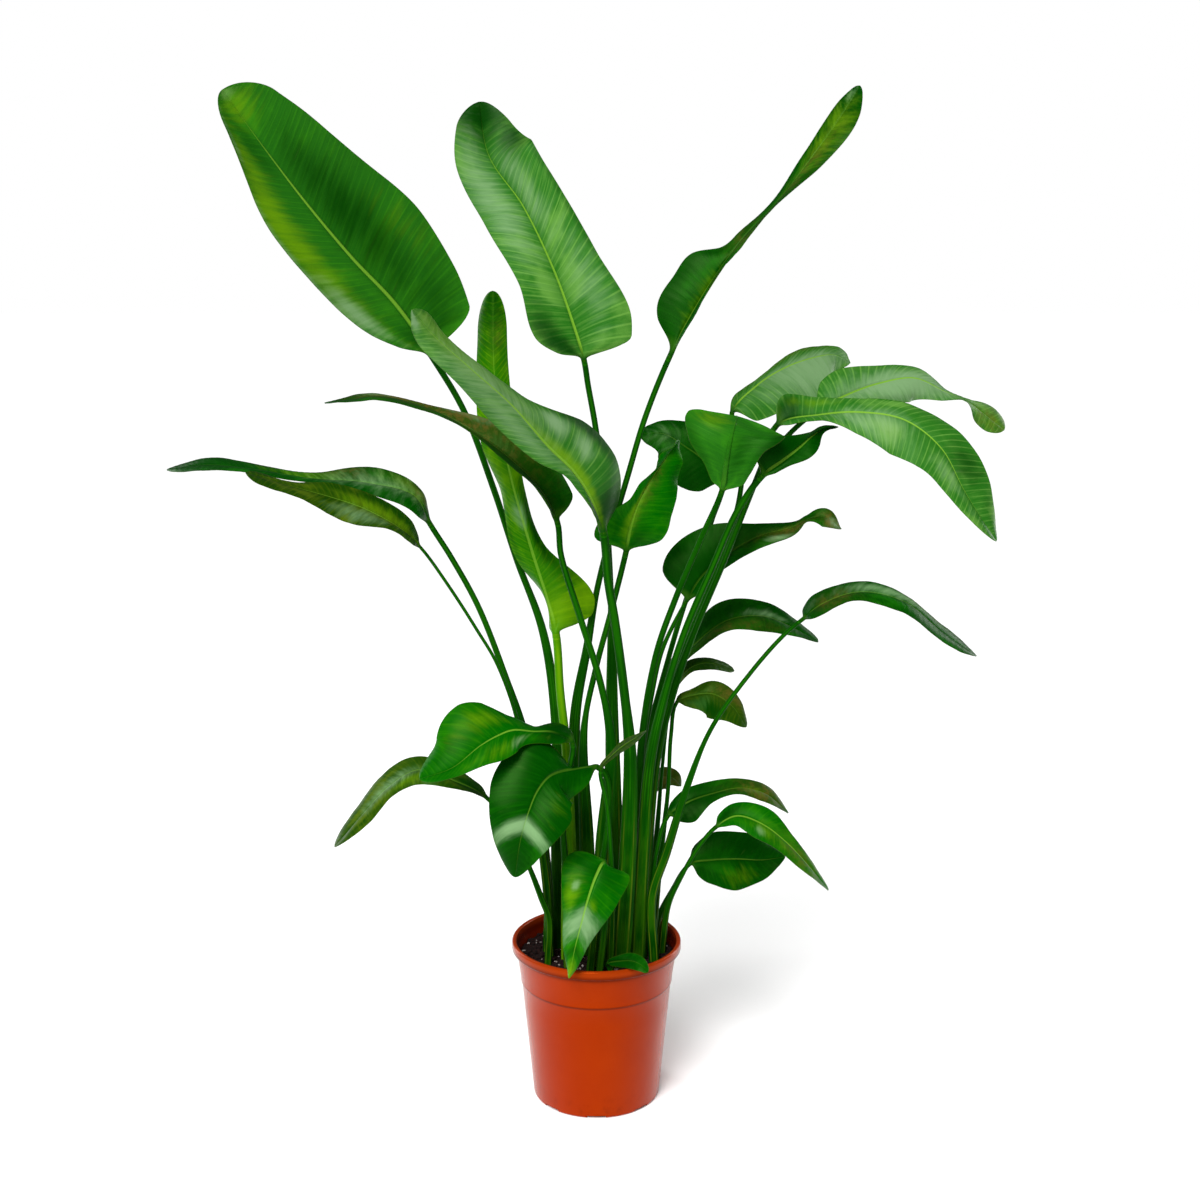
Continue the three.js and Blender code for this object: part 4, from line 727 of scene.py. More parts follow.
# A stalk's colour, its lighter lines and the warm tone of its foot.
OLD_STALK = (paint(3, 58, 0), paint(30, 104, 3), paint(46, 90, 3))
YOUNG_STALK = (paint(60, 120, 2), paint(108, 152, 8), paint(104, 146, 12))
def seen(places):
    """The points seen at the photo's pixels, at given distances toward the viewer from the pot's axis."""
    column, row, toward = np.array(places, float).T
    right = (column - PHOTO_CENTRE) / PHOTO_FOCAL
    up = (PHOTO_CENTRE - row) / PHOTO_FOCAL
    ahead = math.cos(PITCH) + up * math.sin(PITCH)
    rise = up * math.cos(PITCH) - math.sin(PITCH)
    reach = (-CAMERA[1] - toward * MM) / ahead
    return np.stack([CAMERA[0] + right * reach, -toward * MM, CAMERA[2] + rise * reach], 1)


def depth_of(points):
    """How far points lie from the photo's camera, along its line of view."""
    away = points - CAMERA
    return away[..., 1] * math.cos(PITCH) - away[..., 2] * math.sin(PITCH)


def unit(vectors):
    return vectors / np.maximum(np.linalg.norm(vectors, axis=-1, keepdims=True), 1e-12)


def smooth(values, start, end):
    """0 up to start and 1 from end on, with a smooth change between them."""
    share = np.clip((values - start) / (end - start), 0, 1)
    return share * share * (3 - 2 * share)


def walk(points):
    """How far along a line of points each one lies."""
    return np.concatenate([[0], np.cumsum(np.linalg.norm(np.diff(points, axis=0), axis=1))])


def eased(first, second, out_slope, in_slope, part):
    """A cubic step from the first value to the second, with the slopes that it has at both."""
    cubic = 2 * first - 2 * second + out_slope + in_slope
    square = -3 * first + 3 * second - 2 * out_slope - in_slope
    return ((cubic * part + square) * part + out_slope) * part + first


def between(values, share):
    """Values between the listed ones, read off a smooth curve through them."""
    values = np.array(values, float)
    padded = np.concatenate([values[:1], values, values[-1:]])
    place = np.clip(share, 0, 1) * (len(values) - 1)
    index = np.minimum(place.astype(int), len(values) - 2)
    before, first, second, after = (padded[index + step] for step in range(4))
    return eased(first, second, (second - before) / 2, (after - first) / 2, place - index)


def on_curve(points, share):
    """Places on a centripetal curve through the points, at shares of its parameter."""
    ends = np.vstack([2 * points[0] - points[1], points, 2 * points[-1] - points[-2]])
    place = np.clip(share, 0, 1) * (len(points) - 1)
    index = np.minimum(place.astype(int), len(points) - 2)
    before, first, second, after = (ends[index + step] for step in range(4))
    pairs = ((before, first), (first, second), (second, after))
    gap_in, gap, gap_out = (np.sqrt(np.linalg.norm(b - a, axis=-1, keepdims=True)) for a, b in pairs)
    out_slope = (first - before) / gap_in - (second - before) / (gap_in + gap) + (second - first) / gap
    in_slope = (second - first) / gap - (after - first) / (gap + gap_out) + (after - second) / gap_out
    return eased(first, second, out_slope * gap, in_slope * gap, (place - index)[..., None])


def give_rail(plan):
    """Adds to a leaf the line that its stalk and rib follow, from the soil to the blade's tip."""
    ground = np.array([[*plan.foot, SOIL_TOP + SOIL_RELIEF]])
    plan.rail = np.vstack([ground, seen(plan.stalk), seen(plan.rib)])
    plan.blade_start = (1 + len(plan.stalk)) / (len(plan.rail) - 1)
    pixels = np.array(plan.rib, float)[:, :2]
    length = np.linalg.norm(np.diff(pixels, axis=0), axis=1).sum()
    foot, tip = ((plan.left[index] + plan.right[index]) / 2 for index in (0, -1))
    plan.foot_rounding = np.clip(FOOT_ROUNDING * foot / length, LEAST_ROUNDING, MOST_ROUNDING)
    plan.tip_rounding = np.clip(TIP_ROUNDING * tip / length, LEAST_TIP_ROUNDING, MOST_ROUNDING)


def directions(plan, share):
    """Places on the rail and their directions: along it, of sight, to its right and toward the viewer."""
    point = on_curve(plan.rail, share)
    along = unit(on_curve(plan.rail, share + TANGENT_STEP) - on_curve(plan.rail, share - TANGENT_STEP))
    sight = unit(point - CAMERA)
    right = unit(np.cross(sight, along))
    face = unit(np.cross(right, along))
    return SimpleNamespace(point=point, along=along, sight=sight, right=right, face=face)


def on_blade(plan, share):
    return directions(plan, plan.blade_start + (1 - plan.blade_start) * share)


def fullness(plan, share):
    """How much of its full width a blade has there: a rounded foot and a rounded tip."""
    foot = np.clip(share / plan.foot_rounding, 0, 1)
    tip = np.clip((1 - share) / plan.tip_rounding, 0, 1)
    return np.sqrt(foot * (2 - foot) * tip * (2 - tip))


def half_blades(plan, place, share, hand):
    """The vectors from the rib to the margin. hand is 0 for the left margin and 1 for the right one."""
    full = fullness(plan, share)
    pixels = np.where(hand, between(plan.right, share), between(plan.left, share))
    wide = np.maximum(0, pixels) * full * depth_of(place.point) / PHOTO_FOCAL
    width = np.maximum(LEAST_HALF_WIDTH, wide)
    lean = plan.lean[hand] * full
    sign = np.where(hand, 1, -1)
    return place.right * (sign * width)[..., None] - place.sight * lean[..., None]


def blade_points(plan, share, side):
    """Points of the blade's middle surface; side runs from -1 at the left margin to 1 at the right one."""
    place = on_blade(plan, share)
    hand = (side >= 0).astype(int)
    reach = np.abs(side)
    full = fullness(plan, share)
    half = half_blades(plan, place, share, hand)
    width = np.linalg.norm(half, axis=-1)
    face = unit(np.cross(half * np.where(hand, 1, -1)[..., None], place.along))
    height, count, phase = plan.waves
    wave = height * full * reach**2 * np.sin(math.tau * count * share + phase + MARGIN_SHIFT * hand)
    ripple_turn = math.tau * RIPPLE_COUNT * share + 3 * phase + hand
    ripple = RIPPLE_HEIGHT * height * full * reach**4 * np.sin(ripple_turn)
    arch = plan.cup * width * 4 * reach * (1 - reach)
    back = plan.lobe * width * reach**2 * (1 - share) ** 4 * full
    lift = (arch + wave + ripple)[..., None]
    return place.point + half * reach[..., None] + face * lift - place.along * back[..., None]


def rib_radius(plan, share):
    return plan.thick[1] + (TIP_RIB - plan.thick[1]) * share


def blade_rows(plan, pitch):
    """Shares of the blade where its rows of points stand, and how far along the rib each lies."""
    shares = np.linspace(0, 1, BLADE_READINGS)
    walked = walk(on_blade(plan, shares).point)
    steps = max(LEAST_BLADE_ROWS, int(walked[-1] / pitch * ROWS_PER_VEIN))
    even = np.interp(np.linspace(0, walked[-1], steps), walked, shares)
    rounded = np.concatenate([plan.foot_rounding * END_SHARES, 1 - plan.tip_rounding * END_SHARES])
    rows = np.unique(np.concatenate([even, rounded]))
    apart = np.concatenate([[True], np.diff(rows) > CLOSEST_ROWS])
    rows = rows[apart]
    rows[-1] = 1
    return rows, np.interp(rows, shares, walked)


def blade_widths(plan, rows):
    """The left and the right half width of each row."""
    place = on_blade(plan, rows)
    halves = [half_blades(plan, place, rows, np.full(len(rows), hand)) for hand in (0, 1)]
    return np.stack([np.linalg.norm(half, axis=1) for half in halves], 1)


def blade_sides(plan, rows, widths):
    """The columns of each row, from the left margin over the rib to the right one."""
    columns = []
    for width in widths.T:
        ratio = np.clip(RIB_REACH * rib_radius(plan, rows) / width, *RIB_SHARES)[:, None]
        outer = ratio + (1 - ratio) * OUTER_COLUMNS
        columns.append(np.hstack([ratio * RIB_COLUMNS, outer]))
    left, right = columns
    return np.hstack([-left[:, :0:-1], right])


def blade_grid(plan, pitch):
    """A blade's rows and columns of points, with what the parts of its surface are worked out from."""
    rows, walked = blade_rows(plan, pitch)
    widths = blade_widths(plan, rows)
    side = blade_sides(plan, rows, widths)
    return SimpleNamespace(
        rows=rows, row=rows[:, None] * np.ones_like(side), side=side, reach=np.abs(side),
        walked=walked, widest=widths.max(), width=np.where(side < 0, widths[:, :1], widths[:, 1:]),
        full=fullness(plan, rows)[:, None], radius=rib_radius(plan, rows)[:, None],
    )


def swept_points(plan, grid):
    """Points of the blade's middle surface, in rows that run forward to the margin as side veins do."""
    sweep = min(MOST_SWEEP, VEIN_SWEEP * grid.widest / grid.walked[-1])
    share = grid.row + sweep * grid.reach * 4 * grid.row * (1 - grid.row)
    return blade_points(plan, share.ravel(), grid.side.ravel()).reshape(*grid.side.shape, 3)


def vein_swell(grid, pitch, relief, rng):
    """How high the side veins stand, each a little differently; the rib and the margin are left flat."""
    veins = grid.walked / pitch
    count = int(veins[-1]) + 3
    heights = np.interp(veins, np.arange(count), LEAST_VEIN + rng.random(count))
    off_rib = smooth(grid.reach * grid.width, VEIN_START * grid.radius, VEIN_FULL * grid.radius)
    off_margin = 1 - VEIN_FADE * smooth(grid.reach, VEIN_FADE_START, 1)
    return relief * (np.cos(math.tau * veins) * heights)[:, None] * (off_rib * off_margin) * grid.full


def blade_rings(plan, pitch, relief, rng):
    """The rings of points round the blade, with what its finish reads at each point."""
    grid = blade_grid(plan, pitch)
    points = swept_points(plan, grid)
    normals = unit(np.cross(np.gradient(points, axis=1), np.gradient(points, axis=0)))
    swell = vein_swell(grid, pitch, relief, rng)
    from_rib = grid.reach * grid.width / grid.radius
    thickness = BLADE_THICKNESS + (MARGIN_THICKNESS - BLADE_THICKNESS) * grid.reach**2
    inside = np.clip(1 - from_rib**2, 0, 1)
    keel = grid.radius * np.sqrt(inside)
    channel = -RIB_CHANNEL * grid.radius * inside * grid.full
    near_extra, far_extra = (channel, keel) if plan.cup >= 0 else (keel, channel)
    near = points + normals * (swell + thickness / 2 + near_extra)[..., None]
    far = points + normals * (swell - thickness / 2 - far_extra)[..., None]
    flat = np.concatenate([near, far[:, ::-1]], axis=1)

    ones = np.ones(len(grid.rows))
    oval = stalk_rings(plan, on_blade(plan, grid.rows), stalk_size(plan, ones), ones)
    rings = oval + (flat - oval) * smooth(grid.rows, 0, BLEND)[:, None, None]
    return rings, blade_traits(plan, grid, from_rib)


def blade_traits(plan, grid, from_rib):
    """What the blade's finish reads at each point, the same on both of its skins."""
    tints = {kind: np.zeros_like(grid.side) for kind in TINT_KINDS}
    for kind, tint_share, tint_side, along, across, strength in TINTS.get(plan.name, ()):
        away = ((grid.row - tint_share) / along) ** 2 + ((grid.side - tint_side) / across) ** 2
        tints[kind] = np.maximum(tints[kind], strength * np.exp(-away))
    one_skin = {
        "leaf_across": grid.side,
        "leaf_length": grid.walked[:, None] * np.ones_like(grid.side),
        "leaf_share": grid.row,
        "leaf_rib": from_rib,
        "leaf_edge": (1 - grid.reach) * grid.width,
        **{"leaf_" + kind: values for kind, values in tints.items()},
    }
    return {name: np.concatenate([values, values[:, ::-1]], axis=1) for name, values in one_skin.items()}


def clasp(share):
    """How much a stalk's foot clasps its neighbours, at shares of the stalk's length."""
    return np.clip(1 - (share / SHEATH_END) ** 2, 0, 1)[:, None]


def stalk_size(plan, share):
    """The stalk's half widths and half depths at shares of its length."""
    plain = (plan.thick[0] + (plan.thick[1] - plan.thick[0]) * share)[:, None]
    return plain + (plan.sheath - plain) * clasp(share)


def from_channel(plan, turns):
    """Angles from the middle of the stalk's channel, which lies on the blade's upper side."""
    middle = math.pi / 2 if plan.cup >= 0 else -math.pi / 2
    return (turns - middle + math.pi) % math.tau - math.pi


def stalk_rings(plan, place, sizes, share):
    """Rings of the stalk's oval section, with the channel between its two edges."""
    away = from_channel(plan, RING_TURNS)[None, :]
    depth = CHANNEL_DEPTH + CLASP_CHANNEL_DEPTH * clasp(share)
    depth = depth * smooth(1 - share[:, None], 0, CHANNEL_END)
    channel = depth * np.exp(-((away / CHANNEL_WIDTH) ** 2))
    edges = EDGE_HEIGHT * depth * np.exp(-(((np.abs(away) - EDGE_PLACE) / EDGE_WIDTH) ** 2))
    profile = 1 - channel + edges
    right = place.right[:, None, :] * (sizes[:, :1] * np.cos(RING_TURNS) * profile)[..., None]
    face = place.face[:, None, :] * (sizes[:, 1:] * np.sin(RING_TURNS) * profile)[..., None]
    return place.point[:, None, :] + right + face


def buried_rings(plan, levels):
    """The rings of a stalk's foot in its hole, upright over the hole's floor."""
    still = np.ones((len(levels), 1))
    upright = SimpleNamespace(
        point=np.column_stack([still * plan.foot, levels]),
        right=still * np.array([[1.0, 0, 0]]),
        face=still * np.array([[0, -1.0, 0]]),
    )
    start = np.zeros(len(levels))
    return stalk_rings(plan, upright, stalk_size(plan, start), start)


def whole_stalk_rings(plan):
    """The rings of the whole stalk, from its hole's floor to the blade, with what its finish reads."""
    shares = np.linspace(0, plan.blade_start, STALK_READINGS)
    walked = walk(on_curve(plan.rail, shares))
    steps = max(LEAST_STALK_ROWS, int(walked[-1] / STALK_STEP))
    part = np.arange(1, steps) / steps
    place = directions(plan, np.interp(part * walked[-1], walked, shares))
    above = stalk_rings(plan, place, stalk_size(plan, part), part)
    floor = SOIL_TOP - HOLE_DEPTH + HOLE_GAP
    levels = np.array([floor, SOIL_TOP - BURIED_STEP, SOIL_TOP + SOIL_RELIEF])
    rings = np.concatenate([buried_rings(plan, levels), above])

    ones = np.ones(rings.shape[:2])
    height = np.concatenate([levels - levels[-1], part * walked[-1]])
    share = np.concatenate([np.zeros(len(levels)), part])
    traits = {
        "leaf_across": ones * from_channel(plan, RING_TURNS) / math.pi,
        "leaf_length": ones * height[:, None],
        "leaf_share": ones * share[:, None],
        "leaf_rib": ones * FAR_FROM_RIB,
        "leaf_edge": ones * FAR_FROM_MARGIN,
        **{"leaf_" + kind: ones * 0 for kind in TINT_KINDS},
    }
    return rings, traits


def new_object(name, vertices, faces, materials, face_materials=None, crease=CREASE):
    """A smooth-shaded mesh object, sharp only where its faces meet at more than the crease angle."""
    mesh = bpy.data.meshes.new(name)
    mesh.from_pydata(vertices, [], faces)
    for material in materials:
        mesh.materials.append(material)
    if face_materials is not None:
        mesh.polygons.foreach_set("material_index", np.asarray(face_materials, np.int32))
    mesh.polygons.foreach_set("use_smooth", np.ones(len(mesh.polygons), bool))
    mesh.set_sharp_from_angle(angle=crease)
    mesh.update()
    made = bpy.data.objects.new(name, mesh)
    bpy.context.scene.collection.objects.link(made)
    return made


def give_trait(mesh, name, values):
    """Stores a number at each vertex, which the mesh's finish reads by name."""
    layer = mesh.attributes.new(name, "FLOAT", "POINT")
    layer.data.foreach_set("value", np.asarray(values, np.float32).ravel())


def belongs(made, slot, *nodes):
    """Ties a piece to the frame: the body it rides on and the nodes it stands for, which it hides. slot is
    not used.
    """
    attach(made, BODY)
    if nodes:
        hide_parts(*nodes)


def skin_faces(rows, stalk_rows, near_skin, far_skin):
    """The faces of a closed skin through rings of points, with the kind of skin that each face shows."""
    ring = np.arange(rows - 1)[:, None] * RING_POINTS
    spot = np.arange(RING_POINTS)[None, :]
    following = (spot + 1) % RING_POINTS
    corners = [ring + spot, ring + following, ring + following + RING_POINTS, ring + spot + RING_POINTS]
    faces = np.stack(corners, -1).reshape(-1, 4).tolist()
    half = RING_POINTS // 2
    blade_skins = np.where(spot < half, near_skin, far_skin)
    skins = np.where(ring // RING_POINTS < stalk_rows, STALK_SKIN, blade_skins).reshape(-1).tolist()
    last = (rows - 1) * RING_POINTS
    for place in range(half - 1):
        across = RING_POINTS - 1 - place
        faces.append((place, across, across - 1, place + 1))
        faces.append((last + place, last + place + 1, last + across - 1, last + across))
        skins += [STALK_SKIN, LOWER_SKIN]
    return faces, skins


def make_leaf(plan, index, settings, finishes):
    """One leaf: its stalk and its blade as one closed surface, held inside the frame's box."""
    give_rail(plan)
    rng = np.random.default_rng(settings.seed + index)
    stalk, stalk_traits = whole_stalk_rings(plan)
    blade, blade_side_traits = blade_rings(plan, settings.vein_pitch, settings.vein_relief, rng)
    inside_box = np.array(CAD_BOX) + [[BOX_MARGIN], [-BOX_MARGIN]]
    rings = np.clip(np.concatenate([stalk, blade]), *inside_box)
    skins = (UPPER_SKIN, LOWER_SKIN) if plan.cup >= 0 else (LOWER_SKIN, UPPER_SKIN)
    faces, face_skins = skin_faces(len(rings), len(stalk), *skins)
    made = new_object(plan.name + "_leaf", rings.reshape(-1, 3), faces, finishes[plan.green], face_skins)
    for name in stalk_traits:
        give_trait(made.data, name, np.concatenate([stalk_traits[name], blade_side_traits[name]]))
    give_trait(made.data, "leaf_seed", np.full(rings.shape[:2], SEED_STEP * (index + 1)))
    belongs(made, LEAF_SLOTS[plan.green], "leaf_" + plan.name)


class Finish:
    """A material's nodes, with short ways to add what the plant's finishes are made of."""

    def __init__(self, name, shine=0.5, tint=WHITE):
        self.material = bpy.data.materials.new(name)
        self.material.use_nodes = True
        self.tree = self.material.node_tree
        self.shader = self.tree.nodes["Principled BSDF"]
        self.shader.inputs["Specular IOR Level"].default_value = shine
        self.shader.inputs["Specular Tint"].default_value = tint

    def put(self, socket, value):
        if isinstance(value, bpy.types.NodeSocket):
            self.tree.links.new(value, socket)
        else:
            socket.default_value = value

    def skin(self, colour, roughness):
        self.put(self.shader.inputs["Base Color"], colour)
        self.put(self.shader.inputs["Roughness"], roughness)

    def trait(self, name):
        node = self.tree.nodes.new("ShaderNodeAttribute")
        node.attribute_name = name
        return node.outputs["Fac"]

    def math(self, operation, *values):
        node = self.tree.nodes.new("ShaderNodeMath")
        node.operation = operation
        for socket, value in zip(node.inputs, values):
            self.put(socket, value)
        return node.outputs[0]

    def product(self, first, *others):
        for other in others:
            first = self.math("MULTIPLY", first, other)
        return first

    def apart(self, first, second):
        return self.math("ABSOLUTE", self.math("SUBTRACT", first, second))

    def fade(self, value, start, end, low=0.0, high=1.0):
        """low up to start and high from end on, with a smooth change between them."""
        node = self.tree.nodes.new("ShaderNodeMapRange")
        node.interpolation_type = "SMOOTHSTEP"
        names = ("Value", "From Min", "From Max", "To Min", "To Max")
        for name, number in zip(names, (value, start, end, low, high)):
            self.put(node.inputs[name], number)
        return node.outputs["Result"]

    def mix(self, share, first, second):
        node = self.tree.nodes.new("ShaderNodeMix")
        node.data_type = "RGBA"
        for index, value in zip(MIX_INPUTS, (share, first, second)):
            self.put(node.inputs[index], value)
        return node.outputs[MIX_OUTPUT]

    def place(self, x, y, z):
        node = self.tree.nodes.new("ShaderNodeCombineXYZ")
        for socket, value in zip(node.inputs, (x, y, z)):
            self.put(socket, value)
        return node.outputs[0]

    def object_place(self):
        return self.tree.nodes.new("ShaderNodeTexCoord").outputs["Object"]

    def noise(self, place, scale, detail=3.0, roughness=0.5):
        node = self.tree.nodes.new("ShaderNodeTexNoise")
        self.put(node.inputs["Vector"], place)
        node.inputs["Scale"].default_value = scale
        node.inputs["Detail"].default_value = detail
        node.inputs["Roughness"].default_value = roughness
        return node.outputs["Fac"]

    def bump(self, height, strength, distance):
        node = self.tree.nodes.new("ShaderNodeBump")
        node.inputs["Strength"].default_value = strength
        node.inputs["Distance"].default_value = distance
        self.put(node.inputs["Height"], height)
        self.put(self.shader.inputs["Normal"], node.outputs["Normal"])


def blended(first, second, share):
    return tuple(a + (b - a) * share for a, b in zip(first, second))


def leaf_look(settings, green):
    """The colours of one kind of leaf."""
    deep = getattr(settings, green + "_deep")
    light = getattr(settings, green + "_light")
    stalk, stalk_light, stalk_warm = YOUNG_STALK if green == "young" else OLD_STALK
    waxy = green == "grey"
    return SimpleNamespace(
        deep=tuple(deep), light=tuple(light),
        under=blended(deep, settings.underside, UNDERSIDE_BLEND),
        under_light=blended(light, settings.underside, UNDERSIDE_BLEND),
        rib=tuple(settings.rib), rib_strength=RIB_STRENGTHS[green], veins=VEIN_STRENGTHS[green],
        margin=paint(52, 62, 12), yellow=paint(98, 142, 6), brown=paint(92, 76, 30),
        # shade is the colour of painted shade; the pale patches' colour is partly waxy bloom and partly
        # painted sheen.
        shade=paint(0, 50, 0), bloom_and_sheen=tuple(settings.bloom_and_sheen),
        stalk=stalk, stalk_light=stalk_light, stalk_warm=stalk_warm, sheath_edge=paint(112, 132, 30),
        gloss=0.4 if waxy else 0.35,
        shine_tint=blended(settings.shine_tint, WHITE, 0.25 if waxy else 0.0),
    )


def blade_reads(finish):
    """What a blade's finish reads from its mesh, with the streaks that run along its side veins."""
    across = finish.math("ABSOLUTE", finish.trait("leaf_across"))
    length = finish.trait("leaf_length")
    seed = finish.trait("leaf_seed")
    spread = finish.math("MULTIPLY", across, 1.3)

    def streaks(per_metre, detail, roughness):
        place = finish.place(finish.math("MULTIPLY", length, per_metre), spread, seed)
        return finish.noise(place, 1.0, detail, roughness)

    return SimpleNamespace(
        length=length, share=finish.trait("leaf_share"), rib=finish.trait("leaf_rib"),
        plain=finish.math("SUBTRACT", 1.0, finish.trait("leaf_plain")),
        fine=streaks(STREAKS_PER_METRE, 4.0, 0.6), broad=streaks(BANDS_PER_METRE, 3.0, 0.5),
        ragged=finish.math("SUBTRACT", streaks(PATCH_STREAKS_PER_METRE, 3.0, 0.6), 0.5),
    )


def blade_green(finish, reads, look, settings, upper):
    """A blade's streaked green with its lighter side veins, deeper beside the rib."""
    deep, light = (look.deep, look.light) if upper else (look.under, look.under_light)
    cloud = finish.noise(finish.object_place(), 14.0, 4.0, 0.6)
    colour = finish.mix(finish.fade(reads.fine, 0.42, 0.72, 0.0, 0.42), deep, light)
    colour = finish.mix(finish.fade(reads.broad, 0.44, 0.7, 0.0, 0.7), colour, light)
    colour = finish.mix(finish.fade(cloud, 0.42, 0.62, 0.0, 0.75), colour, deep)
    turn = finish.math("COSINE", finish.math("MULTIPLY", reads.length, math.tau / settings.vein_pitch))
    vein = finish.fade(turn, 0.7, 1.0, 0.0, look.veins if upper else UNDERSIDE_VEINS)
    vein = finish.product(vein, finish.fade(reads.broad, 0.3, 0.6, 0.3, 1.0), reads.plain)
    colour = finish.mix(vein, colour, light)
    beside_rib = finish.product(finish.fade(reads.rib, 1.0, 7.0, 0.4, 0.0), reads.plain)
    return finish.mix(beside_rib, colour, deep)


def blade_patches(finish, reads, look, colour):
    """The ragged dark patches of painted shade, yellow ones, pale ones of waxy bloom and painted sheen,
    and the speckled brown ones over a blade's green.
    """
    patches = (
        ("leaf_dark", look.shade, 0.95, 0.75), ("leaf_yellow", look.yellow, 0.8, 0.8),
        ("leaf_pale", look.bloom_and_sheen, 1.0, 0.7),
    )
    for name, patch_colour, most, raggedness in patches:
        ragged = finish.math("MULTIPLY", reads.ragged, raggedness)
        patch = finish.math("ADD", finish.trait(name), ragged)
        colour = finish.mix(finish.fade(patch, 0.1, 0.95, 0.0, most), colour, patch_colour)
    speckle = finish.fade(finish.noise(finish.object_place(), 90.0, 4.0, 0.7), 0.42, 0.62, 0.3, 1.0)
    return finish.mix(finish.product(finish.trait("leaf_brown"), speckle), colour, look.brown)


def blade_rib(finish, reads, look, upper, colour):
    """The pale rib, fading to the tip, and the thin margin over a blade's colour."""
    rib_colour = finish.mix(finish.fade(reads.share, 0.0, 0.1), look.stalk, look.rib)
    wide = 0.5 if upper else 0.7
    rib = finish.product(
        finish.fade(reads.rib, 0.7 * wide, 1.2 * wide, look.rib_strength, 0.0),
        finish.fade(reads.share, 0.6, 1.0, 1.0, 0.15), reads.plain,
    )
    rib = finish.math("MAXIMUM", rib, finish.fade(reads.share, 0.0, 0.05, 1.0, 0.0))
    colour = finish.mix(rib, colour, rib_colour)
    edge = finish.fade(finish.trait("leaf_edge"), 0.0002, 0.0010, 0.35, 0.0)
    return finish.mix(edge, colour, look.margin)


def blade_finish(name, look, settings, upper):
    """A blade's upper or lower skin."""
    finish = Finish(name, settings.shine if upper else 0.6 * settings.shine, look.shine_tint)
    finish.shader.inputs["IOR"].default_value = 1.45
    reads = blade_reads(finish)
    colour = blade_green(finish, reads, look, settings, upper)
    colour = blade_patches(finish, reads, look, colour)
    colour = blade_rib(finish, reads, look, upper, colour)
    finish.skin(colour, finish.fade(reads.broad, 0.3, 0.7, look.gloss - 0.03, look.gloss + 0.07))
    finish.bump(reads.fine, strength=0.35, distance=0.0004)
    return finish.material


def stalk_finish(name, look, settings):
    """A stalk: fine lines along it, warmer at its clasping foot and pale along its channel's edges."""
    finish = Finish(name, 0.4 * settings.shine, tuple(settings.shine_tint))
    around = finish.math("ABSOLUTE", finish.trait("leaf_across"))
    length = finish.trait("leaf_length")
    share = finish.trait("leaf_share")
    seed = finish.trait("leaf_seed")

    def along(lines, patches):
        turn, height = finish.product(around, lines), finish.product(length, patches)
        return finish.noise(finish.place(turn, height, seed), 1.0)

    lines = along(26.0, 5.0)
    cloud = along(2.0, 16.0)
    colour = finish.mix(finish.fade(lines, 0.42, 0.7, 0.0, 0.7), look.stalk, look.stalk_light)
    colour = finish.mix(finish.fade(cloud, 0.4, 0.66, 0.0, 0.8), colour, look.stalk)
    foot = finish.fade(share, 0.05, 0.5, 1.0, 0.0)
    warm = finish.product(foot, finish.fade(cloud, 0.35, 0.6, 0.5, 0.0))
    colour = finish.mix(warm, colour, look.stalk_warm)
    pale = finish.product(
        finish.fade(finish.apart(around, EDGE_TINT_PLACE), 0.0, 0.05, 0.6, 0.0), foot,
        finish.fade(cloud, 0.38, 0.6, 0.1, 1.0),
    )
    colour = finish.mix(pale, colour, look.sheath_edge)
    channel = finish.product(finish.fade(around, 0.0, 0.16, 0.5, 0.0), finish.fade(share, 0.4, 0.9))
    colour = finish.mix(channel, colour, look.stalk_light)
    colour = finish.mix(finish.fade(share, 0.93, 1.0), colour, look.stalk)
    finish.skin(colour, finish.fade(lines, 0.3, 0.7, 0.46, 0.58))
    finish.bump(lines, strength=0.3, distance=0.0005)
    return finish.material


def leaf_finishes(settings):
    """The finishes of every kind of leaf: its upper skin, its underside and its stalk."""
    finishes = {}
    for green in LEAF_SLOTS:
        look = leaf_look(settings, green)
        finishes[green] = [
            blade_finish(green + " leaf upper skin", look, settings, True),
            blade_finish(green + " leaf underside", look, settings, False),
            stalk_finish(green + " leaf stalk", look, settings),
        ]
    return finishes


def worn_plastic_with_painted_shade(finish, place, level, settings):
    """The plastic's colour: faint clouds, scuffs near the foot, a darker lip and painted shade under the
    lip and the collar's step.
    """
    cloud = finish.fade(finish.noise(place, 9.0, 4.0, 0.6), 0.3, 0.75)
    colour = finish.mix(cloud, settings.plastic, settings.plastic_light)
    scuffs = finish.fade(finish.noise(place, 60.0, 5.0, 0.7), 0.5, 0.7)
    worn = finish.product(finish.fade(level, 0.0, 0.05, 0.35, 0.0), scuffs)
    colour = finish.mix(worn, colour, settings.plastic_dark)
    colour = finish.mix(finish.fade(level, LIP_FOOT, LIP_FOOT + 0.004, 0.0, 0.6), colour, settings.lip)
    # Painted shade: dark lines under the lip's overhang and under the collar's step.
    for line, width, strength in ((LIP_FOOT, 0.0075, 0.95), (COLLAR_HEIGHT, 0.0030, 0.8)):
        crease = finish.fade(finish.apart(line, level), 0.0004, width, strength, 0.0)
        colour = finish.mix(crease, colour, settings.plastic_dark)
    return colour


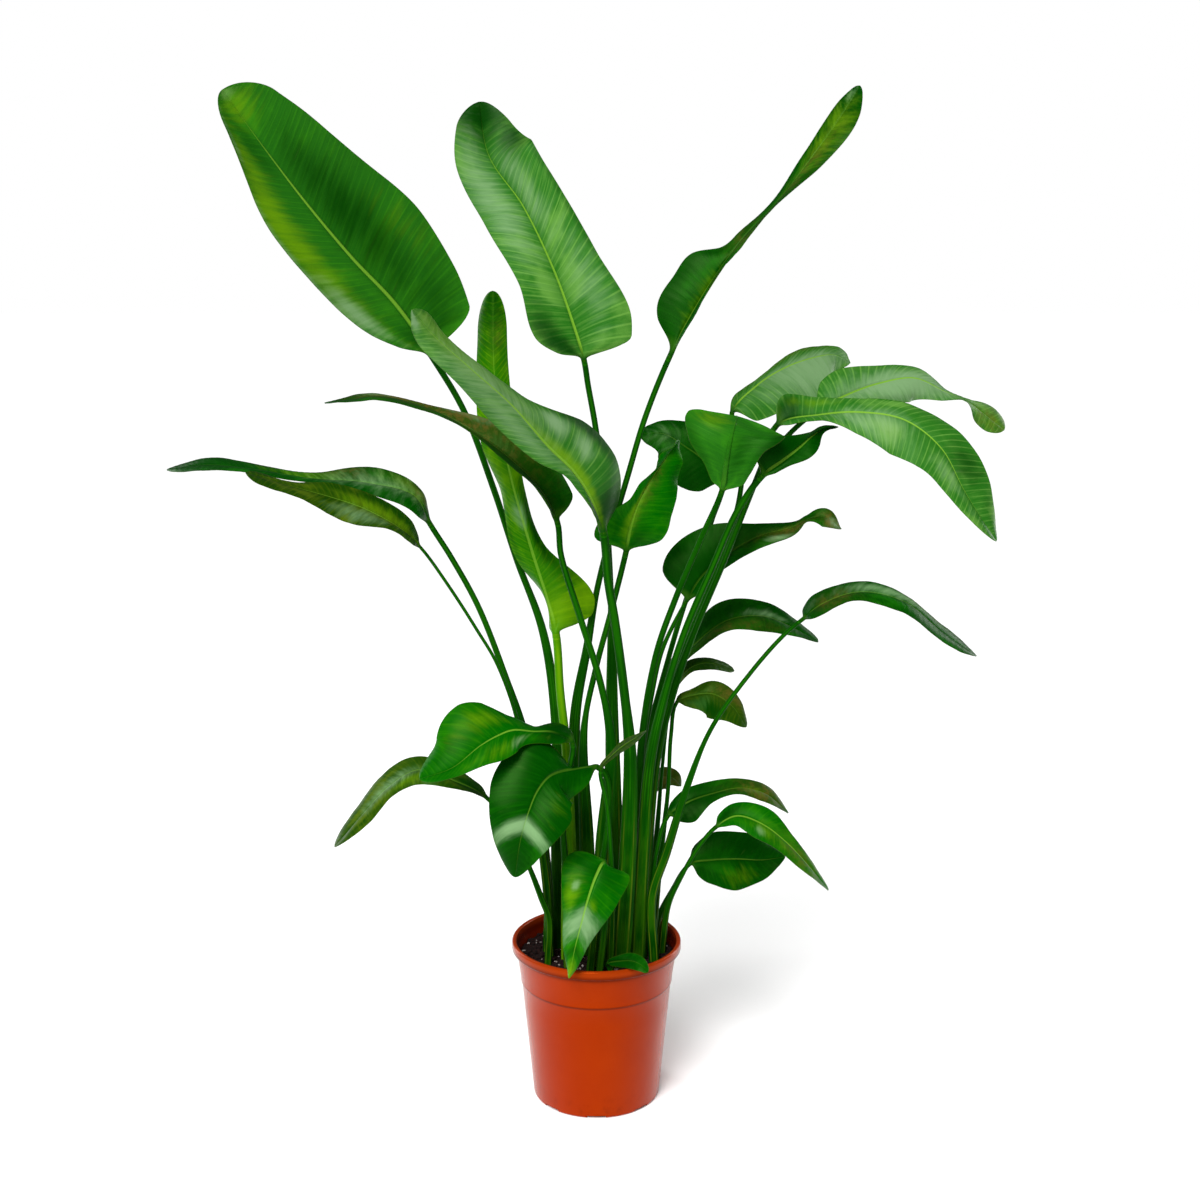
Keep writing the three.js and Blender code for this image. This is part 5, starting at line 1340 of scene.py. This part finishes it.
def shaded_plastic(finish, level, from_axis, settings, colour):
    """Painted shade on the inside of the wall and in the recess behind the foot ring."""
    inner_foot = wall_radius(SOIL_TOP) - WALL / 2
    lean = (wall_radius(POT_HEIGHT) - wall_radius(SOIL_TOP)) / (POT_HEIGHT - SOIL_TOP)
    wall = finish.math("ADD", finish.product(finish.math("SUBTRACT", level, SOIL_TOP), lean), inner_foot)
    inside = finish.fade(finish.math("SUBTRACT", wall, from_axis), 0.0, 0.0006)
    # Painted shade inside the wall, fading out over the lip toward the rim.
    shade = finish.product(inside, finish.fade(level, LIP_FOOT, POT_HEIGHT, 0.8, 0.0))
    colour = finish.mix(shade, colour, settings.plastic_dark)
    # Painted shade: the recess behind the foot ring, near black.
    behind_ring = finish.math("SUBTRACT", BASE_RADIUS - FOOT_RING_WIDTH / 2, from_axis)
    recess = finish.product(
        finish.fade(behind_ring, -0.001, 0.001), finish.fade(level, 0.004, FOOT_HEIGHT, 1.0, 0.0)
    )
    return finish.mix(recess, colour, paint(40, 8, 0))


def plastic_finish(settings):
    """Moulded plastic with a fine skin."""
    finish = Finish("orange brown moulded plastic", 0.4, paint(255, 110, 30))
    place = finish.object_place()
    parts = finish.tree.nodes.new("ShaderNodeSeparateXYZ")
    finish.put(parts.inputs[0], place)
    level = parts.outputs["Z"]
    from_axis = finish.tree.nodes.new("ShaderNodeVectorMath")
    from_axis.operation = "LENGTH"
    finish.put(from_axis.inputs[0], finish.place(parts.outputs["X"], parts.outputs["Y"], 0.0))
    colour = worn_plastic_with_painted_shade(finish, place, level, settings)
    colour = shaded_plastic(finish, level, from_axis.outputs["Value"], settings, colour)
    finish.skin(colour, finish.fade(finish.noise(place, 24.0), 0.3, 0.7, 0.2, 0.26))
    finish.bump(finish.noise(place, 700.0, 2.0), strength=0.08, distance=0.0002)
    return finish.material


def soil_finish(name, dark, brown, grains_per_metre):
    """Peat: dark brown grains with a rough, matt face."""
    finish = Finish(name, 0.2)
    grain = finish.noise(finish.object_place(), grains_per_metre, 5.0, 0.7)
    finish.skin(finish.mix(finish.fade(grain, 0.4, 0.62), dark, brown), 0.95)
    finish.bump(grain, strength=0.9, distance=0.0012)
    return finish.material


def perlite_finish(settings):
    """White, porous grains, a little stained by the peat."""
    finish = Finish("white perlite")
    place = finish.object_place()
    stain = finish.fade(finish.noise(place, 160.0), 0.45, 0.7, 0.0, 0.6)
    colour = finish.mix(stain, settings.perlite, paint(132, 112, 96))
    dirt = finish.fade(finish.trait("grain_shade"), 0.2, 0.9, 0.65, 0.0)
    finish.skin(finish.mix(dirt, colour, paint(84, 68, 60)), 0.85)
    finish.bump(finish.noise(place, 900.0, 3.0, 0.6), strength=0.5, distance=0.0004)
    return finish.material


def wall_radius(height):
    """The pot's outer radius at a height."""
    if height <= COLLAR_HEIGHT:
        return BASE_RADIUS + (COLLAR_RADIUS - STEP - BASE_RADIUS) * height / COLLAR_HEIGHT
    flare = (height - COLLAR_HEIGHT) / (POT_HEIGHT - COLLAR_HEIGHT)
    return COLLAR_RADIUS + (RIM_RADIUS - LIP_OUT - COLLAR_RADIUS) * flare**FLARE


def inner_radius(height):
    """The radius of the pot's inside at a height."""
    return wall_radius(height) - WALL


def soil_radius(height):
    """The root ball's radius at a height."""
    return inner_radius(height) - SOIL_GAP


def arc(centre, radii, start, end, steps):
    """Points round an oval arc in the profile plane, angles in degrees."""
    (across, up), (width, height) = centre, radii
    turns = np.radians(np.linspace(start, end, steps))
    return [(across + width * math.cos(turn), up + height * math.sin(turn)) for turn in turns]


def foot_profile():
    """The pot's underside: its centre foot, its foot ring and the round heel."""
    under = FOOT_HEIGHT - WALL
    ring = BASE_RADIUS - FOOT_RING_WIDTH
    round_width, round_height = RING_ROUND
    heel_inset, heel_height = HEEL_ROUND
    heel = BASE_RADIUS - heel_inset
    heel_width = wall_radius(heel_height) - heel
    points = [(0, 0), (CENTRE_FOOT_RADIUS, 0), (CENTRE_FOOT_RADIUS + CENTRE_FOOT_SLOPE, under)]
    points += [(ring - RING_SLOPE, under), (ring, round_height), (ring + round_width, 0), (heel, 0)]
    return points + arc((heel, heel_height), (heel_width, heel_height), -75, 0, 7)


def lip_profile():
    """The rolled lip, from under its outer edge over the rim to its inner foot."""
    foot_width, foot_rise = LIP_FOOT_ROUND
    top_width, top_rise = LIP_TOP_ROUND
    inner_foot = POT_HEIGHT - LIP_INSIDE_FOOT
    points = [(wall_radius(LIP_FOOT), LIP_FOOT - LIP_UNDERCUT)]
    points += arc((RIM_RADIUS - foot_width, LIP_FOOT + foot_rise), LIP_FOOT_ROUND, -90, 0, 5)
    points += [(RIM_RADIUS, POT_HEIGHT - LIP_SIDE_TOP)]
    points += arc((RIM_RADIUS - top_width, POT_HEIGHT - top_rise), LIP_TOP_ROUND, 10, 150, 10)
    return points + [(inner_radius(inner_foot), inner_foot)]


def pot_profile():
    """The outline of the pot's wall, from the middle of its underside up, over the rim and down inside."""
    wall = np.linspace(PLAIN_WALL_FOOT, COLLAR_HEIGHT - STEP, 7)
    collar = [COLLAR_HEIGHT + (LIP_FOOT - COLLAR_HEIGHT) * share for share in np.linspace(0, 1, 9)[1:-1]]
    step_round = (wall_radius(COLLAR_HEIGHT) + STEP, COLLAR_HEIGHT - STEP_ROUND_DROP)
    collar_in, collar_up = COLLAR_ROUND_MIDDLE
    collar_round = (COLLAR_RADIUS - collar_in, COLLAR_HEIGHT + collar_up)
    points = foot_profile() + [(wall_radius(height), height) for height in wall]
    points += arc(step_round, STEP_ROUND, 180, 110, 4)
    points += arc(collar_round, COLLAR_ROUND, -60, 10, 4)
    points += [(wall_radius(height), height) for height in collar]
    points += lip_profile()
    points += [(inner_radius(height), height) for height in collar[::-1]]
    points += [(inner_radius(height), height) for height in (COLLAR_HEIGHT, FOOT_HEIGHT + FLOOR_ROUND)]
    return points + [(inner_radius(FOOT_HEIGHT) - FLOOR_ROUND, FOOT_HEIGHT), (0, FOOT_HEIGHT)]


def lathe(profile, sides):
    """A closed surface turned about the vertical axis. The profile starts and ends on the axis."""
    turns = np.arange(sides) * math.tau / sides
    inner = np.array(profile[1:-1])
    radii, heights = inner[:, :1], inner[:, 1:]
    rings = np.stack([radii * np.cos(turns), radii * np.sin(turns), heights * np.ones(sides)], -1)
    vertices = [*rings.reshape(-1, 3).tolist(), [0, 0, profile[0][1]], [0, 0, profile[-1][1]]]
    low, high = len(vertices) - 2, len(vertices) - 1
    faces = []
    for ring in range(0, (len(inner) - 1) * sides, sides):
        for side in range(sides):
            after = (side + 1) % sides
            above = ring + sides
            faces.append((ring + side, ring + after, above + after, above + side))
    top = (len(inner) - 1) * sides
    for side in range(sides):
        after = (side + 1) % sides
        faces.append((low, after, side))
        faces.append((top + side, top + after, high))
    return vertices, faces


def turned_about_axis(turn, radius):
    """Sets a thing at a radius from the pot's axis, turned about it."""
    return Matrix.Rotation(turn, 4, "Z") @ Matrix.Translation((radius, 0, 0))


def pot_cutters():
    """One mesh with the drain holes and the gaps in the foot ring."""
    cutters = bmesh.new()
    notch_depth = 2 * FOOT_RING_WIDTH + NOTCH_EXTRA
    notch_size = Matrix.Diagonal((notch_depth, NOTCH_WIDTH, 2 * (FOOT_HEIGHT - WALL), 1))
    for index in range(DRAIN_COUNT):
        turn = math.tau * index / DRAIN_COUNT
        drain = turned_about_axis(turn + math.pi / DRAIN_COUNT, DRAIN_RING_RADIUS)
        bmesh.ops.create_cone(
            cutters, cap_ends=True, segments=32, radius1=DRAIN_RADIUS, radius2=DRAIN_RADIUS,
            depth=4 * FOOT_HEIGHT, matrix=drain,
        )
        notch = turned_about_axis(turn - math.pi / 2, BASE_RADIUS - FOOT_RING_WIDTH / 2)
        bmesh.ops.create_cube(cutters, size=1, matrix=notch @ notch_size)
    mesh = bpy.data.meshes.new("pot cutters")
    cutters.to_mesh(mesh)
    cutters.free()
    return mesh


def make_pot(settings):
    """The nursery pot as a turned wall with its drains and notches cut out."""
    vertices, faces = lathe(pot_profile(), settings.pot_sides)
    pot = new_object("nursery_pot", vertices, faces, [plastic_finish(settings)])
    cutter = bpy.data.objects.new("pot cutters", pot_cutters())
    bpy.context.scene.collection.objects.link(cutter)
    cut = pot.modifiers.new("drains", "BOOLEAN")
    cut.operation = "DIFFERENCE"
    cut.solver = "EXACT"
    cut.object = cutter
    bpy.context.view_layer.update()
    carved = bpy.data.meshes.new_from_object(pot.evaluated_get(bpy.context.evaluated_depsgraph_get()))
    pot.modifiers.clear()
    pot.data = carved
    bpy.data.objects.remove(cutter)
    carved.polygons.foreach_set("use_smooth", np.ones(len(carved.polygons), bool))
    carved.set_sharp_from_angle(angle=POT_CREASE)
    belongs(pot, "pot_plastic", "pot")


def soil_height(x, y):
    """The soil's surface: low swells with lumps and grains on them."""
    swell = math.sin(x / 0.017 + 0.6) * math.cos(y / 0.014 - 0.4) + 0.5 * math.sin((x + 2 * y) / 0.011)
    lumps = noise.fractal(Vector((x, y, 0)) * LUMPS_PER_METRE, 0.7, 2.2, 4)
    return SOIL_TOP + SOIL_RELIEF * swell / 1.5 + SOIL_RELIEF * lumps


def make_soil(settings):
    """The root ball, closed all round, with a grained surface."""
    foot = FOOT_HEIGHT + SOIL_GAP
    corner = FLOOR_ROUND + SOIL_GAP
    edge = soil_radius(SOIL_EDGE_LEVEL)
    profile = [(0, foot), (soil_radius(foot) - corner, foot), (soil_radius(foot + corner), foot + corner)]
    profile += [(soil_radius(height), height) for height in np.linspace(0.02, COLLAR_HEIGHT, 6)]
    profile += [(edge, SOIL_TOP - SOIL_EDGE_DROP)]
    profile += [(edge * share, SOIL_TOP) for share in np.linspace(0.995, 0.01, 70)]
    profile += [(0, SOIL_TOP)]
    vertices, faces = lathe(profile, settings.pot_sides)
    for vertex in vertices:
        if vertex[2] > SOIL_TOP - MM:
            vertex[2] = soil_height(vertex[0], vertex[1])
    finish = soil_finish("dark peat", settings.peat, settings.peat_light, PEAT_GRAIN)
    soil = new_object("potting_mix", vertices, faces, [finish])
    belongs(soil, "potting_soil", "soil")


def scattered(name, count, sizes, material, settings, flatness, lumpiness, sunk, seed_offset):
    """Many grains of one kind lying on the soil between the stalks, as one mesh.

    sizes are the least and the most radius, flatness the height as a share of it, and sunk the share of
    the height that lies in the soil.
    """
    rng = np.random.default_rng(settings.seed + seed_offset)
    ball = bmesh.new()
    bmesh.ops.create_icosphere(ball, subdivisions=2, radius=1)
    base = np.array([vertex.co for vertex in ball.verts])
    base_faces = np.array([[vertex.index for vertex in face.verts] for face in ball.faces])
    ball.free()
    feet = np.array([plan.foot for plan in LEAVES])
    widths = np.array([plan.sheath for plan in LEAVES]) + GRAIN_GAP
    vertices, faces, shades = [], [], []
    while len(vertices) < count:
        radius = (inner_radius(SOIL_TOP) - RIM_GRAIN_GAP) * math.sqrt(rng.random())
        turn = rng.random() * math.tau
        x, y = radius * math.cos(turn), radius * math.sin(turn)
        size = sizes[0] + (sizes[1] - sizes[0]) * rng.random() ** 2
        near = ((np.array([x, y]) - feet) / (widths + size)) ** 2
        lumps = 1 + lumpiness * (rng.random((len(base), 1)) - 0.5)
        stretch = size * np.array([1 + 0.5 * rng.random(), 0.7 + 0.5 * rng.random(), flatness])
        turned = Matrix.Rotation(rng.random() * math.tau, 3, "Z")
        turned = np.array(turned @ Matrix.Rotation(0.5 * rng.random(), 3, "X"))
        shade = rng.random()
        if near.sum(axis=1).min() < 1:
            continue
        grain = (base * lumps * stretch) @ turned.T
        faces.append(base_faces + len(vertices) * len(base))
        vertices.append(grain + [x, y, soil_height(x, y) + size * flatness * (1 - sunk)])
        shades.append(np.full(len(base), shade))
    faces = np.concatenate(faces).tolist()
    made = new_object(name, np.concatenate(vertices), faces, [material], crease=GRAIN_CREASE)
    give_trait(made.data, "grain_shade", np.concatenate(shades))
    belongs(made, "potting_soil")


def make_floor(settings):
    """The pale floor with faint clouds."""
    half = settings.floor_size / 2
    corners = [(-half, -half, 0), (half, -half, 0), (half, half, 0), (-half, half, 0)]
    finish = Finish("pale studio floor", 0.1)
    cloud = finish.noise(finish.object_place(), 1.5, 2.0)
    finish.skin(finish.mix(cloud, settings.floor, blended(settings.floor, WHITE, 0.2)), 0.9)
    floor = new_object("studio_floor", corners, [(0, 1, 2, 3)], [finish.material])


def make_world(settings):
    """Light from all round: plain white to the camera and weaker in what shiny skins mirror."""
    world = bpy.data.worlds.new("pale studio")
    world.use_nodes = True
    tree = world.node_tree
    background = tree.nodes["Background"]
    background.inputs["Color"].default_value = WHITE
    path = tree.nodes.new("ShaderNodeLightPath")
    strength = background.inputs["Strength"]
    for ray, seen_strength in (("Is Camera Ray", 1.0), ("Is Glossy Ray", settings.mirrored_room)):
        level = tree.nodes.new("ShaderNodeMapRange")
        level.inputs["To Max"].default_value = seen_strength
        tree.links.new(path.outputs[ray], level.inputs["Value"])
        tree.links.new(level.outputs["Result"], strength)
        strength = level.inputs["To Min"]
    strength.default_value = settings.room_light
    bpy.context.scene.world = world


def soft_window(name, place, target, size, power):
    """A soft rectangular lamp that faces a point."""
    data = bpy.data.lights.new(name, "AREA")
    data.shape = "RECTANGLE"
    data.size, data.size_y = size
    data.energy = power
    lamp = bpy.data.objects.new(name, data)
    lamp.location = place
    lamp.rotation_euler = (Vector(target) - Vector(place)).to_track_quat("-Z", "Y").to_euler()
    bpy.context.scene.collection.objects.link(lamp)


def make_lamps(settings):
    """The soft sun and the three windows of the studio."""
    data = bpy.data.lights.new("key light", "SUN")
    data.energy = settings.key_light
    data.angle = math.radians(30)
    sun = bpy.data.objects.new("key light", data)
    sun.rotation_euler = Vector((-0.34, -0.9, 1.1)).to_track_quat("Z", "Y").to_euler()
    bpy.context.scene.collection.objects.link(sun)
    power = settings.window_light
    soft_window("front window", (-1.3, -2.6, 1.9), (0, 0, 0.75), (1.5, 0.8), power)
    soft_window("left window", (-1.7, 1.2, 1.0), (0, 0, 0.6), (0.5, 2.2), 0.6 * power)
    soft_window("right window", (1.7, 1.1, 1.0), (0, 0, 0.6), (0.5, 2.2), 0.6 * power)


def make_camera():
    """The camera of the photo."""
    scene = bpy.context.scene
    data = bpy.data.cameras.new("photo camera")
    data.sensor_width = SENSOR_WIDTH
    data.lens = SENSOR_WIDTH * PHOTO_FOCAL / PHOTO_SIDE
    camera = bpy.data.objects.new("photo camera", data)
    camera.location = CAMERA.tolist()
    camera.rotation_euler = (math.pi / 2 - PITCH, 0, 0)
    scene.collection.objects.link(camera)
    scene.camera = camera


def make_stage(settings):
    """The pale floor, the studio light and the camera of the photo."""
    make_floor(settings)
    make_world(settings)
    make_lamps(settings)
    make_camera()
    bpy.context.scene.view_settings.view_transform = "Standard"


def colour_setting(name, description, default):
    return FloatVectorProperty(
        name=name, description=description, default=default, size=4, subtype="COLOR", min=0, max=1
    )


class PlantSettings(bpy.types.PropertyGroup):
    """What a user would change on the plant, the pot and the stage."""

    seed: IntProperty(name="Seed", description="Chooses the random veins and grains", default=11)
    vein_pitch: FloatProperty(
        name="Vein pitch", description="Distance between side veins", default=0.0092, unit="LENGTH"
    )
    vein_relief: FloatProperty(
        name="Vein relief", description="Height of the side veins", default=0.00013, unit="LENGTH"
    )
    shine: FloatProperty(
        name="Leaf shine", description="How strongly leaves mirror the light", default=0.15, min=0, max=1
    )
    shine_tint: colour_setting(
        "Leaf shine colour", "Colour of the light mirrored by leaves", paint(150, 230, 110)
    )
    deep_deep: colour_setting("Deep leaf", "Old leaves between their veins", paint(0, 58, 0))
    deep_light: colour_setting("Deep leaf veins", "Old leaves along their veins", paint(16, 92, 1))
    # On top_left the bright greens also stand in for light shining through the leaf from behind.
    bright_deep: colour_setting("Bright leaf", "Full-grown leaves between their veins", paint(0, 82, 0))
    bright_light: colour_setting(
        "Bright leaf veins", "Full-grown leaves along their veins", paint(36, 114, 0)
    )
    young_deep: colour_setting("Young leaf", "The youngest leaf between its veins", paint(30, 98, 0))
    young_light: colour_setting(
        "Young leaf veins", "The youngest leaf along its veins", paint(100, 150, 2)
    )
    # The waxy greens are partly the leaves' own bloom and partly painted sheen.
    grey_deep: colour_setting(
        "Waxy leaf", "Leaves with a waxy bloom between their veins", paint(34, 98, 20)
    )
    grey_light: colour_setting(
        "Waxy leaf veins", "Leaves with a waxy bloom along their veins", paint(92, 142, 56)
    )
    olive_deep: colour_setting("Olive leaf", "Ageing leaves between their veins", paint(24, 60, 2))
    olive_light: colour_setting("Olive leaf veins", "Ageing leaves along their veins", paint(76, 98, 10))
    # Partly the leaves' waxy bloom and partly painted sheen and highlights.
    bloom_and_sheen: colour_setting("Bloom", "The pale wax on some leaves", paint(112, 148, 100))
    rib: colour_setting("Rib", "The pale middle rib", paint(112, 160, 44))
    underside: colour_setting("Underside", "What the undersides' colour leans to", paint(92, 140, 60))
    pot_sides: IntProperty(
        name="Pot sides", description="Facets round the pot", default=POT_SIDES, min=48, max=512
    )
    plastic: colour_setting("Plastic", "The pot's colour", paint(143, 38, 0))
    plastic_light: colour_setting("Plastic, lighter", "The pot's lighter clouds", paint(151, 43, 0))
    # Scuffs, and the painted shade under the lip, under the collar's step, inside the wall and behind the
    # foot ring.
    plastic_dark: colour_setting("Plastic, darker", "Scuffs and creases", paint(84, 16, 0))
    lip: colour_setting("Lip", "The pot's rolled lip", paint(138, 48, 8))
    peat: colour_setting("Peat", "The darkest peat", paint(14, 5, 5))
    peat_light: colour_setting("Peat, lighter", "Drier peat", paint(38, 17, 14))
    perlite: colour_setting("Perlite", "The white grains", paint(176, 168, 164))
    crumbs: IntProperty(
        name="Crumbs", description="Peat crumbs on the soil", default=1100, min=0, max=4000
    )
    perlite_grains: IntProperty(
        name="Perlite grains", description="White grains on the soil", default=200, min=0, max=1000
    )
    floor: colour_setting("Floor", "The pale floor", paint(255, 255, 255))
    floor_size: FloatProperty(
        name="Floor size", description="Side of the floor", default=60.0, unit="LENGTH"
    )
    room_light: FloatProperty(
        name="Room light", description="Light from all round", default=0.36, min=0, max=2
    )
    mirrored_room: FloatProperty(
        name="Mirrored room", description="Room light that shiny skins mirror", default=0.06, min=0
    )
    key_light: FloatProperty(name="Key light", description="Strength of the soft sun", default=3.1, min=0)
    window_light: FloatProperty(
        name="Windows", description="Power of the soft windows", default=26.0, min=0, unit="POWER"
    )


class PLANT_OT_pot(bpy.types.Operator):
    """Builds the nursery pot around the frame's pot"""

    bl_idname = "plant.pot"
    bl_label = "Nursery pot"

    def execute(self, context):
        make_pot(context.scene.plant_settings)
        return {"FINISHED"}


class PLANT_OT_soil(bpy.types.Operator):
    """Builds the root ball with its crumbs and its perlite"""

    bl_idname = "plant.soil"
    bl_label = "Soil"

    def execute(self, context):
        settings = context.scene.plant_settings
        make_soil(settings)
        peat = soil_finish("peat crumbs", settings.peat, settings.peat_light, CRUMB_GRAIN)
        scattered(
            "peat_crumbs", settings.crumbs, CRUMB_SIZES, peat, settings,
            flatness=0.7, lumpiness=0.5, sunk=0.45, seed_offset=1,
        )
        white = perlite_finish(settings)
        scattered(
            "perlite_grains", settings.perlite_grains, PERLITE_SIZES, white, settings,
            flatness=0.8, lumpiness=0.35, sunk=0.1, seed_offset=2,
        )
        return {"FINISHED"}


class PLANT_OT_leaves(bpy.types.Operator):
    """Builds every leaf with its stalk"""

    bl_idname = "plant.leaves"
    bl_label = "Leaves"

    def execute(self, context):
        settings = context.scene.plant_settings
        finishes = leaf_finishes(settings)
        for index, plan in enumerate(LEAVES):
            make_leaf(plan, index, settings, finishes)
        return {"FINISHED"}


class PLANT_OT_stage(bpy.types.Operator):
    """Adds the floor, the studio light and the camera"""

    bl_idname = "plant.stage"
    bl_label = "Stage"

    def execute(self, context):
        make_stage(context.scene.plant_settings)
        return {"FINISHED"}


OPERATORS = (PLANT_OT_stage, PLANT_OT_pot, PLANT_OT_soil, PLANT_OT_leaves)


class PLANT_PT_panel(bpy.types.Panel):
    """Lists what the plant is built of, with its settings"""

    bl_label = "Potted bird of paradise"
    bl_idname = "PLANT_PT_panel"
    bl_space_type = "VIEW_3D"
    bl_region_type = "UI"
    bl_category = "Plant"

    def draw(self, context):
        for operator in OPERATORS:
            self.layout.operator(operator.bl_idname)
        settings = context.scene.plant_settings
        for name in PlantSettings.__annotations__:
            self.layout.prop(settings, name)


CLASSES = (PlantSettings, *OPERATORS, PLANT_PT_panel)


def register():
    for kind in CLASSES:
        bpy.utils.register_class(kind)
    bpy.types.Scene.plant_settings = PointerProperty(type=PlantSettings)


def unregister():
    del bpy.types.Scene.plant_settings
    for kind in reversed(CLASSES):
        bpy.utils.unregister_class(kind)


def main():
    """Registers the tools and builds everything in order."""
    register()
    bpy.ops.plant.stage()
    bpy.ops.plant.pot()
    bpy.ops.plant.soil()
    bpy.ops.plant.leaves()
    bpy.context.view_layer.update()


if __name__ == "__main__":
    main()
